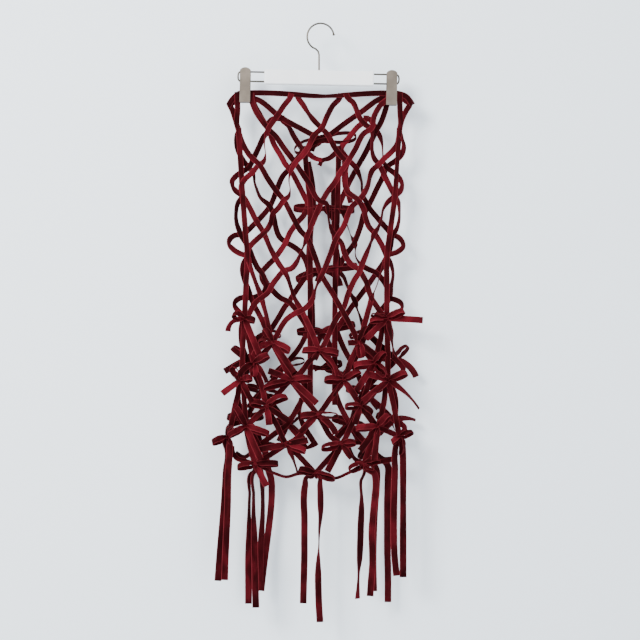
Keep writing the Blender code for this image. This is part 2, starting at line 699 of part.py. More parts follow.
def bows():
    sides = ((FRONT_BOWS, -1, "front", VELVET), (BACK_BOWS, 1, "back", VELVET_SHADE))
    for table, facing, side, look in sides:
        for line in table:
            place = bow_middle(line.column, line.row, facing)
            hand = "m" if line.column == 0 else "l" if line.column < 0 else "r"
            name = f"bow_{side}_{line.row}_{hand}{abs(line.column)}"
            bow(name, look, place, facing, line.plane * MM - abs(place.y), line.arms)


# ---------------------------------------------------------------- ties of the back opening

TIE_LIFT = 3 * MM
WAIST_TIE_LIFT = 8 * MM  # its loops lie over the net and the tops of the edge ribbons


def ties():
    """Each tie's knot lies on the ends of its straps, and the waist's on the ends of the band."""
    for line in TIES:
        at_waist = line.name == "tie_waist"
        under_y = BACK_BAND_Y if at_waist else STRAP_MIDDLE_Y
        away = RIBBON_THICK / 2 + GAP + BOW_KNOT_THICK / 2
        place = Vector((BACK_TIE_X, under_y + away, line.height * MM))
        bow(line.name, VELVET_SHADE, place, 1, WAIST_TIE_LIFT if at_waist else TIE_LIFT, line.arms)


# ---------------------------------------------------------------- the hanger

HANGER_TILT = 1.1  # degrees, its right end lower
BAR_SIZE = (191 * MM, 12 * MM, 25.5 * MM)
BAR_CENTRE = (-2.5 * MM, 0, -94.1 * MM)
ROD_RADIUS = 1.5 * MM
ROD_SPACING = 16.5 * MM
ROD_REACH = (146 * MM, 139 * MM)  # from the middle to the outside of each rod's bend, left and right
WIRE_RADIUS = 1.6 * MM
HOOK_RADIUS = 21.8 * MM + WIRE_RADIUS  # to the wire's middle
HOOK_TIP_ANGLE = 12  # the hook's arc runs from its tip over the top, in degrees from the right
# The tip is a small ball: each step's degrees before the arc, and the wire's swelling there.
HOOK_BALL = ((-7.5, 0.7), (-5.5, 1.3), (-3, 1.5), (-0.8, 1.25))
HOOK_END_ANGLE = 232
HOOK_STEPS = 20
SHANK_X = -2.6 * MM  # the shank stands a little left of the hook's middle
SHANK_BEND = 13 * MM  # height of the bend between arc and shank
SHANK_STEPS = 3
TILT_RISE = 0.2 * MM  # how much the tilted bar rises across the shank's foot
CLIP_WIDTH = 18.6 * MM
CLIP_HEIGHT = 60.8 * MM
CLIP_X = (-131.5 * MM, 124.8 * MM)
CLIP_TOP = -78.8 * MM
CLIP_PLATE = 1.5 * MM
CLIP_OUTER_Y = 5.6 * MM
CLIP_JAW_Y = 3.35 * MM  # where the lips close on the ribbons
CLIP_LIP = 7 * MM
CLIP_LIP_SLOPE = 3 * MM
CLIP_CHAMFER = 1 * MM
CLIP_ARCH = 4.5 * MM  # how much higher the middle of its top is
CLIP_ARCH_STEPS = 8


def wire(name, places, radius, look, swellings=()):
    """A round wire through places. swellings scale its radius at the first of them."""
    curve = bpy.data.curves.new(name, "CURVE")
    curve.dimensions = "3D"
    curve.bevel_depth = radius
    curve.bevel_resolution = 2
    curve.use_fill_caps = True
    spline = curve.splines.new("POLY")
    spline.points.add(len(places) - 1)
    for point, place in zip(spline.points, places):
        point.co = (*place, 1.0)
    for point, swelling in zip(spline.points, swellings):
        point.radius = swelling
    return add_object(name, curve, look)


def arc(centre, radius, start, stop, steps):
    """Points in the XZ plane from one angle to another, in degrees."""
    angles = [math.radians(start + (stop - start) * k / steps) for k in range(steps + 1)]
    return [centre + Vector((math.cos(a) * radius, 0, math.sin(a) * radius)) for a in angles]


def hanger():
    tilt = bpy.data.objects.new("hanger_tilt", None)
    tilt.location = (0, 0, BAR_CENTRE[2])
    tilt.rotation_euler = (0, math.radians(HANGER_TILT), 0)
    SKIRT.objects.link(tilt)

    bpy.ops.mesh.primitive_cube_add(size=1)
    bar = bpy.context.object
    bar.name = "bar"
    bar.data.transform(Matrix.Diagonal((*BAR_SIZE, 1.0)))
    bar.data.materials.append(material(WHITE_PAINT))
    for holder in bar.users_collection:
        holder.objects.unlink(bar)
    SKIRT.objects.link(bar)
    rounding = bar.modifiers.new("rounded edges", "BEVEL")
    rounding.width = 2.0 * MM
    rounding.segments = 2
    bar.location = (BAR_CENTRE[0], 0, 0)
    bar.parent = tilt

    for sign, side, reach in ((-1, "left", ROD_REACH[0]), (1, "right", ROD_REACH[1])):
        start_x = BAR_CENTRE[0] + sign * (BAR_SIZE[0] / 2 + GAP)
        bend = ROD_SPACING / 2
        upper = Vector((start_x, 0, bend))
        lower = Vector((start_x, 0, -bend))
        centre = Vector((sign * (reach - ROD_RADIUS - bend / 2), 0, 0))
        turn = arc(Vector((0, 0, 0)), 1.0, 90, -90, 8)
        rounded = [centre + Vector((sign * p.x * bend / 2, 0, p.z * bend)) for p in turn]
        rod = wire(f"rod_{side}", [upper, *rounded, lower], ROD_RADIUS, METAL)
        rod.parent = tilt

    for x, side in zip(CLIP_X, ("left", "right")):
        made = clip(f"clip_{side}")
        made.location = (x, 0, CLIP_TOP - BAR_CENTRE[2])
        made.parent = tilt

    middle = Vector((0, 0, WIRE_RADIUS - HOOK_RADIUS))
    places = [middle + unit(HOOK_TIP_ANGLE + before) * HOOK_RADIUS for before, swelling in HOOK_BALL]
    places += arc(middle, HOOK_RADIUS, HOOK_TIP_ANGLE, HOOK_END_ANGLE, HOOK_STEPS)
    start = places[-1]
    for k in range(1, SHANK_STEPS + 1):
        t = k / SHANK_STEPS
        x = start.x + (SHANK_X - start.x) * math.sin(math.pi / 2 * t)
        places.append(Vector((x, 0, start.z - SHANK_BEND * (t + t * t) / 2)))
    bar_top = BAR_CENTRE[2] + BAR_SIZE[2] / 2
    places.append(Vector((SHANK_X, 0, bar_top + GAP + TILT_RISE)))
    wire("hook", places, WIRE_RADIUS, METAL, [swelling for before, swelling in HOOK_BALL])


def prism(name, outline, depth, holder):
    """A closed outline of points, moved along depth: a mesh with both its ends, centred on the
    outline's plane."""
    shape = bmesh.new()
    face = shape.faces.new([shape.verts.new(Vector(place) - depth / 2) for place in outline])
    grown = bmesh.ops.extrude_face_region(shape, geom=[face])
    moved = [item for item in grown["geom"] if isinstance(item, bmesh.types.BMVert)]
    bmesh.ops.translate(shape, verts=moved, vec=depth)
    bmesh.ops.recalc_face_normals(shape, faces=shape.faces)
    mesh = bpy.data.meshes.new(name)
    shape.to_mesh(mesh)
    shape.free()
    made = bpy.data.objects.new(name, mesh)
    holder.objects.link(made)
    return made


def clip(name):
    """A spring clip: an arched block of sheet metal, hollow from below, with lips that close on the
    ribbon."""
    half, foot = CLIP_WIDTH / 2, -CLIP_HEIGHT
    arch_radius = (half**2 + CLIP_ARCH**2) / (2 * CLIP_ARCH)
    spread = math.degrees(math.asin(half / arch_radius))
    top = arc(Vector((0, 0, -arch_radius)), arch_radius, 90 - spread, 90 + spread, CLIP_ARCH_STEPS)
    outline = [Vector((half, 0, foot)), *top, Vector((-half, 0, foot))]
    made = prism(name, outline, Vector((0, 2 * CLIP_OUTER_Y, 0)), SKIRT)
    made.data.materials.append(material(METAL))

    roof = ROD_SPACING / 2 + ROD_RADIUS + GAP - (CLIP_TOP - BAR_CENTRE[2])  # it rests on the upper rod
    inner, lip, chamfer = CLIP_OUTER_Y - CLIP_PLATE, foot + CLIP_LIP, CLIP_CHAMFER
    side = [(inner - chamfer, roof), (inner, roof - chamfer), (inner, lip + CLIP_LIP_SLOPE)]
    side += [(CLIP_JAW_Y, lip), (CLIP_JAW_Y, foot - chamfer)]
    hollow = [Vector((0, y, z)) for y, z in side] + [Vector((0, -y, z)) for y, z in reversed(side)]
    cutter = prism(f"{name}_hollow", hollow, Vector((2 * CLIP_WIDTH, 0, 0)), CUTTERS)
    cutter.hide_render = True
    cutter.display_type = "WIRE"
    cutter.parent = made
    cut = made.modifiers.new("hollow", "BOOLEAN")
    cut.object = cutter
    cut.operation = "DIFFERENCE"
    return made


for old in list(bpy.data.objects):
    bpy.data.objects.remove(old, do_unlink=True)

SKIRT = new_collection("ribbon_net_skirt")
CUTTERS = new_collection("cutters")

front_net()
back_net(-1, "net_back_left")
back_net(1, "net_back_right")
waistband()
side_ribbons()
placket_ribbons()
hem_ribbons()
bows()
ties()
hanger()
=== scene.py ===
# %% [markdown]
# # A net skirt of velvet ribbon on a clip hanger
#
# The skirt is a tube of ribbon net. Ribbons run down from the waistband on the slant, pass over and under
# each other, and are held where they cross. In the lower third every crossing is tied in a bow, and long
# ends hang below the hem. The imported model gives the frame: its solids say where each piece lies, and this
# lesson dresses them. It starts by opening that model. The finished skirt has to keep the same size.

# %% Open the imported model
from collections import namedtuple

import bpy
import numpy as np
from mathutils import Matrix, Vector


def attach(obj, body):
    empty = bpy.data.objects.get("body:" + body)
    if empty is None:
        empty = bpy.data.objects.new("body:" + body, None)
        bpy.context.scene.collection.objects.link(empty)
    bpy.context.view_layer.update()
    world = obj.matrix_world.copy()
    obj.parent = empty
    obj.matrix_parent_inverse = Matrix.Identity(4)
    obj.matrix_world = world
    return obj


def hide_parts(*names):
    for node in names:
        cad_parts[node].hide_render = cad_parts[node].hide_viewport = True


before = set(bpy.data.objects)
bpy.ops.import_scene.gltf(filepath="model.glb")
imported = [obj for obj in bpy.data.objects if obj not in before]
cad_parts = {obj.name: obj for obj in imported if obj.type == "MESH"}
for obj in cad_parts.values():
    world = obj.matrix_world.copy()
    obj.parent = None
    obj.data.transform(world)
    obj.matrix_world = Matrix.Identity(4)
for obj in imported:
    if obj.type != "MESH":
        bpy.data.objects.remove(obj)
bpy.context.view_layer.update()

# %% [markdown]
# ## Camera
#
# A camera can be aimed at an object by hand or by a constraint, but a level camera whose back is parallel
# to the wall needs neither: it stands straight in front, at the height of the skirt's middle. A 70 mm lens
# keeps the hanger's bar and the hem in nearly the same scale.

# %% Set the camera straight in front
CAMERA_PLACE = (-0.0009, -2.178, -0.5177)
LENS, SENSOR = 70, 36
camera_data = bpy.data.cameras.new("camera")
camera_data.lens = LENS
camera_data.sensor_width = SENSOR
camera = bpy.data.objects.new("camera", camera_data)
camera.location = CAMERA_PLACE
camera.rotation_euler = (np.pi / 2, 0, 0)
bpy.context.scene.collection.objects.link(camera)
bpy.context.scene.camera = camera
print("the view is", round(-CAMERA_PLACE[1] * SENSOR / LENS, 3), "m wide at the skirt")

# %% [markdown]
# ## Shader maths
#
# A finish is a small calculation for each point of a surface. Wiring it by hand takes many calls, so one
# class wraps a socket: `+`, `-` and `*` on it add a Math node, also with the number on the left, and `node`
# adds any other kind, with its settings first and its inputs after them.

# %% A socket that can be calculated with
class Socket:
    """An output in a node tree. Operators on it add Math nodes, and node() adds any other node."""

    def __init__(self, tree, socket=None):
        self.tree, self.socket = tree, socket

    def node(self, kind, inputs=None, output=0, **settings):
        made = self.tree.nodes.new("ShaderNode" + kind)
        for name, value in settings.items():
            setattr(made, name, value)
        for name, value in (inputs or {}).items():
            if isinstance(value, Socket):
                self.tree.links.new(value.socket, made.inputs[name])
            else:
                made.inputs[name].default_value = value
        return Socket(self.tree, made.outputs[output])

    def maths(self, operation, *values):
        return self.node("Math", dict(enumerate(values)), operation=operation)

    def __add__(self, other):
        return self.maths("ADD", self, other)

    def __sub__(self, other):
        return self.maths("SUBTRACT", self, other)

    def __rsub__(self, other):
        return self.maths("SUBTRACT", other, self)

    def __mul__(self, other):
        return self.maths("MULTIPLY", self, other)

    __radd__, __rmul__ = __add__, __mul__

    def between(self, low, high):
        """0 below low, 1 above high, and a smooth step from one to the other."""
        inputs = {0: self, 1: low, 2: high, 3: 0.0, 4: 1.0}
        return self.node("MapRange", inputs, interpolation_type="SMOOTHSTEP")

    def mix(self, first, second):
        """A colour: first where this value is 0, second where it is 1."""
        paint = [colour if isinstance(colour, Socket) else (*colour, 1.0) for colour in (first, second)]
        return self.node("Mix", {0: self, 6: paint[0], 7: paint[1]}, 2, data_type="RGBA")


def finish(name, **constants):
    """A material, an empty socket to start its maths from, and its shader with the constants set."""
    made = bpy.data.materials.new(name)
    made.use_nodes = True
    shader = made.node_tree.nodes["Principled BSDF"]
    for key, value in constants.items():
        shader.inputs[key.replace("_", " ")].default_value = value
    return made, Socket(made.node_tree), shader


def feed(shader, **sockets):
    for key, source in sockets.items():
        source.tree.links.new(source.socket, shader.inputs[key.replace("_", " ")])


print("operators ready: + - *")

# %% [markdown]
# ## Velvet ribbon
#
# Velvet is a ground cloth with a cut pile. Seen straight on, light sinks between the fibres and the wine
# red goes nearly black. Seen along the surface, the fibres' sides catch light, which is what a shader's
# sheen does. The pile lies a little differently from place to place, so slow patches of shade run along
# each ribbon. The reverse is a smooth satin, lighter and glossier, and a narrow woven selvedge edges the
# pile; its lighter colour is partly the selvedge's own and partly a painted highlight along the edges.
#
# Each ribbon carries its own map, in metres across and along, and two marks, one for the reverse and one for
# the painted sheen, a brightness painted in where the brushed pile would catch the light, so the finish
# follows the cloth wherever it turns.

# %% Make the velvet finish
velvet, start, shader = finish(
    "burgundy velvet ribbon", Sheen_Weight=0.20, Sheen_Roughness=0.35, Sheen_Tint=(0.75, 0.05, 0.075, 1.0),
    Specular_IOR_Level=0.03,
)
cloth_map = start.node("UVMap", uv_map="ribbon")
across = start.node("SeparateXYZ", {0: cloth_map}, 0)
along = start.node("SeparateXYZ", {0: cloth_map}, 1)
reverse = start.node("Attribute", output=2, attribute_name="reverse")
# painted sheen: a brightness painted into the colour where the brushed pile would catch the light
nap = start.node("Attribute", output=2, attribute_name="nap")
# the selvedge mask: the woven edge, whose lighter colour below is partly its own and partly a painted
# highlight
selvedge_and_highlight = across.maths("ABSOLUTE", across).between(0.0040, 0.0044)


def cloth_noise(scale, stretch, detail=2.0, roughness=0.5):
    """Noise over the cloth: scale in cells a metre across, stretch times longer cells along."""
    place = start.node("Mapping", {0: cloth_map, 3: (scale, scale / stretch, scale)})
    return start.node("TexNoise", {0: place, 2: 1.0, 3: detail, 4: roughness}, 0)


patches = cloth_noise(55, 2.5).between(0.36, 0.66)
fibres = cloth_noise(2200, 1.6)
# shade mixes the painted sheen with random patches and fibres, so the bright pile colour is partly a painted
# highlight
shade = (nap * 0.72 + 0.02 + (patches - 0.5) * 0.26 + (fibres - 0.5) * 0.3).between(0.0, 1.0)
pile = shade.mix((0.0115, 0.0006, 0.0011), (0.116, 0.0070, 0.0125))
# the selvedge is painted lighter where the painted sheen is high: a painted highlight along the ribbon's
# edges
pile = (selvedge_and_highlight * (0.4 + nap * 0.4)).mix(pile, (0.165, 0.019, 0.026))
weft = cloth_noise(1500, 0.12).between(0.25, 0.75)
# the satin too is painted lighter where the painted sheen is high
satin = (weft * 0.25 + patches * 0.25 + nap * 0.5).mix((0.024, 0.0010, 0.0022), (0.145, 0.0095, 0.0160))
height = (1 - reverse) * fibres + reverse * weft * 0.3
bump = start.node("Bump", {"Height": height, "Strength": 0.35, "Distance": 0.0004})
roughness = 0.88 - reverse * 0.42 - selvedge_and_highlight * 0.15
feed(shader, Base_Color=reverse.mix(pile, satin), Roughness=roughness, Normal=bump)
print("velvet nodes:", len(velvet.node_tree.nodes))

# %% [markdown]
# ## Metal and lacquer
#
# The clips are nickel with a satin finish, and the hook and rods are steel wire. Both are fully metallic,
# with a roughness that wavers in fine streaks. The bar is wood under white lacquer, so it is nearly smooth,
# with a faint ripple and a soft gloss. These pieces have no map of their own, so their finishes read object
# coordinates, which stay put on the piece.

# %% Make the metal and the lacquer
def metal(name, dark, light, stretch):
    """Bare metal with fine streaks across its height and slow patches of wear, between two tones."""
    made, start, shader = finish(name, Metallic=1.0)
    place = start.node("TexCoord", output=3)
    streaks = start.node("TexNoise", {0: start.node("Mapping", {0: place, 3: stretch}), 2: 1.0, 3: 2.0}, 0)
    wear = start.node("TexNoise", {0: place, 2: 60.0, 3: 3.0}, 0).between(0.35, 0.7)
    tone = (streaks * 0.6 + wear * 0.4).mix(dark, light)
    feed(shader, Base_Color=tone, Roughness=0.30 + streaks * 0.14 + wear * 0.05)
    return made


nickel = metal("satin nickel", (0.135, 0.112, 0.089), (0.205, 0.172, 0.141), (90, 90, 2600))
wire = metal("drawn steel wire", (0.060, 0.051, 0.042), (0.115, 0.100, 0.085), (900, 900, 900))

lacquer, start, shader = finish("white lacquered wood", Coat_Weight=0.25, Coat_Roughness=0.2)
place = start.node("TexCoord", output=3)
ripple = start.node("TexNoise", {0: start.node("Mapping", {0: place, 3: (40, 400, 400)}), 2: 1.0, 3: 2.0}, 0)
age = start.node("TexNoise", {0: place, 2: 22.0, 3: 3.0}, 0).between(0.3, 0.75)
bump = start.node("Bump", {"Height": ripple, "Strength": 0.12, "Distance": 0.0003})
white = age.mix((0.80, 0.81, 0.82), (0.845, 0.85, 0.855))
feed(shader, Base_Color=white, Roughness=0.34 + ripple * 0.12, Normal=bump)
print("finishes:", [made.name for made in (velvet, nickel, wire, lacquer)])

# %% [markdown]
# ## How a ribbon is laid
#
# A ribbon could be a bent plane with a Solidify modifier, but its width would shrink wherever it is
# gathered into a knot. Here it is a section carried along a path. The path is a smooth curve through a few
# points, and numbers for the turn, the gathering, the width and the painted sheen ride along with it. The
# section is bent into an arc where the ribbon is gathered, so the cloth keeps its true width, and its pile
# stands up between two thin selvedges.

# %% Smooth paths
MM = 0.001
FRONT = np.array([0.0, -1.0, 0.0])
WIDTH = 10.0  # of the ribbon, in millimetres, as every length in the tables below
LOOP_WIDTH, SHORT_WIDTH, END_WIDTH = 10.8, 11.4, 12.0  # loops, short and long ends, which lie looser


def route(rows, step):
    """Points at even steps along a curve through rows.

    Between two rows each column is a cubic Hermite curve over the straight distance, with the slope at a row
    taken from its two neighbours. The first three columns are the place, the others ride along.
    """
    rows = np.asarray(rows, float)
    gaps = np.linalg.norm(np.diff(rows[:, :3], axis=0), axis=1)
    at = np.concatenate([[0], np.cumsum(gaps)])
    slopes = np.gradient(rows, at, axis=0)
    where = np.linspace(0, at[-1], max(3, int(np.ceil(at[-1] / step)) + 1))
    k = np.clip(np.searchsorted(at, where, side="right") - 1, 0, len(at) - 2)
    h = gaps[k][:, None]
    t = (where - at[k])[:, None] / h
    start, stop = (2 * t**3 - 3 * t**2 + 1) * rows[k], (3 * t**2 - 2 * t**3) * rows[k + 1]
    return start + stop + (t**3 - 2 * t**2 + t) * h * slopes[k] + (t**3 - t**2) * h * slopes[k + 1]


def unit(vectors):
    return vectors / np.linalg.norm(vectors, axis=-1, keepdims=True)


sample = route([(0, 0, 0), (30, 0, 20), (60, 0, 0)], 4)
print("points:", len(sample), "highest:", sample[:, 2].max().round(1))

# %% The ribbon's section, carried along a path
# The section runs across the pile from edge to edge and back across the reverse: its places across are
# shares of half the width, and its heights are in millimetres.
ACROSS = np.array([-1, -0.88, -0.80, -0.42, 0, 0.42, 0.80, 0.88, 1])
PILE_HEIGHT = (0.10, 0.12, 0.48, 0.55, 0.56, 0.55, 0.48, 0.12, 0.10)
REVERSE_HEIGHT = -0.14
ROW_U = np.concatenate([ACROSS, ACROSS[::-1]])
ROW_HEIGHT = np.concatenate([PILE_HEIGHT, np.full(len(ACROSS), REVERSE_HEIGHT)])
ROW_REVERSE = np.repeat([0.0, 1.0], len(ACROSS))
FLATTEST = 0.01  # the least gathering, which keeps the arc's radius finite


def section(path, wide, facing, reverse):
    """The ribbon's surface: points[i, j] is the j-th place of the section at the i-th step of the path.

    Columns of path: x, y, z, turn in degrees, gathering, width, painted sheen. At gathering c the flat width
    w bends into an arc of half angle a = c * 90 degrees: u goes to (w / 2a) sin(a u) across and to
    (w / 2a) (1 - cos(a u)) up, and the pile's height stands on that arc. The width lies along wide, or else
    across the path and square to facing.
    """
    run = unit(np.gradient(path[:, :3], axis=0))
    if wide is None:
        cross = unit(np.cross(run, facing))
    else:
        cross = unit(wide - run * np.sum(run * wide, axis=1, keepdims=True))
    face = np.cross(cross, run)
    turn = np.radians(path[:, 3:4])
    cross, face = cross * np.cos(turn) + face * np.sin(turn), face * np.cos(turn) - cross * np.sin(turn)
    bend = np.where(np.abs(path[:, 4:5]) < FLATTEST, FLATTEST, path[:, 4:5]) * np.pi / 2
    radius = path[:, 5:6] / 2 / bend
    angle = bend * ROW_U
    sideways = radius * np.sin(angle) - ROW_HEIGHT * np.sin(angle)
    upward = radius * (1 - np.cos(angle)) + ROW_HEIGHT * np.cos(angle)
    points = path[:, None, :3] + cross[:, None] * sideways[..., None] + face[:, None] * upward[..., None]
    steps = np.linalg.norm(np.diff(path[:, :3], axis=0), axis=1)
    along = np.concatenate([[0], np.cumsum(steps)])
    cloth = np.stack(np.broadcast_arrays(WIDTH / 2 * ROW_U, along[:, None]), axis=-1)
    marks = np.stack(np.broadcast_arrays(ROW_REVERSE * reverse, path[:, 6:7]), axis=-1)
    return points, cloth, marks, along[-1]


def shell_faces(count, around):
    """Quads of a closed tube of count rings with around points each, and of the two caps that close it."""
    i, j = np.meshgrid(np.arange(count - 1), np.arange(around), indexing="ij")
    near, far = i * around + j, i * around + (j + 1) % around
    walls = np.stack([near, far, far + around, near + around], axis=-1).reshape(-1, 4)
    k = np.arange(around // 2 - 1)
    cap = np.stack([k, k + 1, around - 2 - k, around - 1 - k], axis=-1)
    return np.concatenate([walls, cap[:, ::-1], cap + (count - 1) * around])


print("triangles for one step of ribbon:", 2 * len(ROW_U))

# %% [markdown]
# ## From surfaces to pieces
#
# A piece of the skirt is one object that stands for one solid of the imported model, or for several. Its
# ribbons are collected first, with their cloth map and marks, and go into the mesh in one go.

# %% Pieces of cloth
RUN = [0.0]  # how much of the roll is used up, so that no two ribbons have the same marks
ROLL_GAP = 37.0  # left between one ribbon and the next
SHARP_FROM = np.radians(50)


def ribbon_object(name, points, faces):
    """A mesh object of velvet from arrays of places in millimetres and quads."""
    mesh = bpy.data.meshes.new(name)
    mesh.vertices.add(len(points))
    mesh.vertices.foreach_set("co", (points * MM).astype(np.float32).ravel())
    mesh.loops.add(faces.size)
    mesh.loops.foreach_set("vertex_index", faces.astype(np.int32).ravel())
    mesh.polygons.add(len(faces))
    mesh.polygons.foreach_set("loop_start", np.arange(0, faces.size, faces.shape[1], dtype=np.int32))
    mesh.update(calc_edges=True)
    mesh.shade_smooth()
    mesh.set_sharp_from_angle(angle=SHARP_FROM)
    mesh.materials.append(velvet)
    made = bpy.data.objects.new(name, mesh)
    bpy.context.scene.collection.objects.link(made)
    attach(made, "root")
    return made


class Cloth:
    """Ribbons that are laid one after another and become one piece."""

    def __init__(self):
        self.points, self.faces, self.cloth, self.marks = [], [], [], []
        self.count, self.length = 0, 0.0

    def lay(self, rows, step=4.0, wide=None, facing=FRONT, reverse=1.0):
        points, cloth, marks, length = section(route(rows, step), wide, facing, reverse)
        self.faces.append(shell_faces(*points.shape[:2]) + self.count)
        self.points.append(points.reshape(-1, 3))
        self.cloth.append(cloth.reshape(-1, 2) + (0, RUN[0]))
        self.marks.append(marks.reshape(-1, 2))
        self.count += points.shape[0] * points.shape[1]
        self.length += length
        RUN[0] += length + ROLL_GAP

    def piece(self, name, nodes):
        points, faces = np.concatenate(self.points), np.concatenate(self.faces)
        made = ribbon_object(name, points, faces)
        layer = made.data.uv_layers.new(name="ribbon")
        layer.data.foreach_set("uv", (np.concatenate(self.cloth)[faces] * MM).ravel())
        for mark, values in zip(("reverse", "nap"), np.concatenate(self.marks).T):
            attribute = made.data.attributes.new(mark, "FLOAT", "POINT")
            attribute.data.foreach_set("value", np.ascontiguousarray(values))
        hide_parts(*nodes)


def row(place, turn=0.0, gather=0.0, width=WIDTH, nap=0.35):
    return (*place, turn, gather, width, nap)


dice = np.random.default_rng(11)
print("pieces of cloth have", len(row(FRONT)), "columns")

# %% [markdown]
# ## Where the ribbons cross
#
# The crossings are counted in 16 half columns round the tube and 12 rows down it: column 0 is the centre
# front, 4 is each side and 8 each edge of the opening behind, with minus signs on the left as the front is
# seen. Two short tables hold the places, in millimetres, and depth comes from the column, since the skirt
# hangs nearly flat.

# %% Tables of crossings
WAIST_Z = -128.0
HEM_ROW = 11
# drop: below the waist at the sides; sag: how much lower the middle hangs; the others are distances from
# the middle
FrontRow = namedtuple("FrontRow", "drop sag outer_left inner_left mid inner_right outer_right")
FRONT_ROWS = (
    FrontRow(0, 0, 121, 41, 0, 44, 119),
    FrontRow(60, -5, 143, 91, 2, 88, 138),
    FrontRow(120, -4, 107, 44, 0, 46, 102),
    FrontRow(173, 11, 136, 64, 2, 66, 130),
    FrontRow(231, 16, 99, 24, 0, 28, 94),
    FrontRow(279, 33, 128, 64, 2, 69, 116),
    FrontRow(332, 44, 103, 33, 0, 38, 89),
    FrontRow(387, 56, 133, 84, -1, 67, 116),
    FrontRow(440, 58, 116, 51, 0, 40, 94),
    FrontRow(495, 60, 139, 94, -5, 70, 119),
    FrontRow(549, 61, 130, 59, 0, 37, 100),
    FrontRow(594, 63, 162, 114, -9, 75, 139),
)
BackRow = namedtuple("BackRow", "outer_drop inner_drop outer_left inner_left inner_right outer_right")
BACK_ROWS = (
    BackRow(4, 36, 118, 68, 80, 117),
    BackRow(57, 91, 91, 28, 32, 98),
    BackRow(122, 124, 126, 55, 63, 116),
    BackRow(190, 188, 89, 18, 30, 84),
    BackRow(240, 253, 140, 61, 60, 126),
    BackRow(307, 303, 103, 18, 26, 98),
    BackRow(351, 358, 122, 56, 61, 121),
    BackRow(412, 407, 91, 18, 25, 81),
    BackRow(458, 467, 129, 60, 56, 131),
    BackRow(515, 510, 101, 19, 21, 77),
    BackRow(564, 572, 133, 58, 52, 128),
    BackRow(610, 614, 108, 23, 17, 84),
)
COLUMN_DEPTH = {0: 10, 1: 10, 2: 9, 3: 5.5, 4: 0.95, 5: 6, 6: 8, 7: 8, 8: 8}
ROW_0_DEPTH = {1: 4.4, 3: 2.4, 4: 2.4, 5: 2.6, 7: 4.9}
ROW_1_DEPTH = 0.65  # as a share of the column's
CLIP_HOLD = 139.0  # where the ribbons to the side come out of the clips


def crossing(column, at):
    """The place of a crossing: its row gives x and z, its column how far it stands out in front or behind."""
    side, sign, far = ("left", -1, -column) if column < 0 else ("right", 1, column)
    if far > 4:
        line = BACK_ROWS[at]
        part = "outer" if far < 7 and (at % 2 == 0 or far == 6) else "inner"
        x, drop = sign * getattr(line, f"{part}_{side}"), getattr(line, f"{part}_drop")
        depth = COLUMN_DEPTH[far]
    else:
        line = FRONT_ROWS[at]
        part = "outer" if far > 2 else "inner"
        x = line.mid if far == 0 else sign * getattr(line, f"{part}_{side}")
        drop, depth = line.drop + line.sag * (1 - (far / 4) ** 2), -COLUMN_DEPTH[far]
    if at == 0:
        depth = np.copysign(ROW_0_DEPTH[far], depth)
    elif at == 1 and far not in (4, 8):
        depth *= ROW_1_DEPTH
    if at == 0 and far == 4:
        x = sign * CLIP_HOLD
    return np.array([x, depth, WAIST_Z - drop])


print("centre front at the hem:", crossing(0, HEM_ROW), "mm")
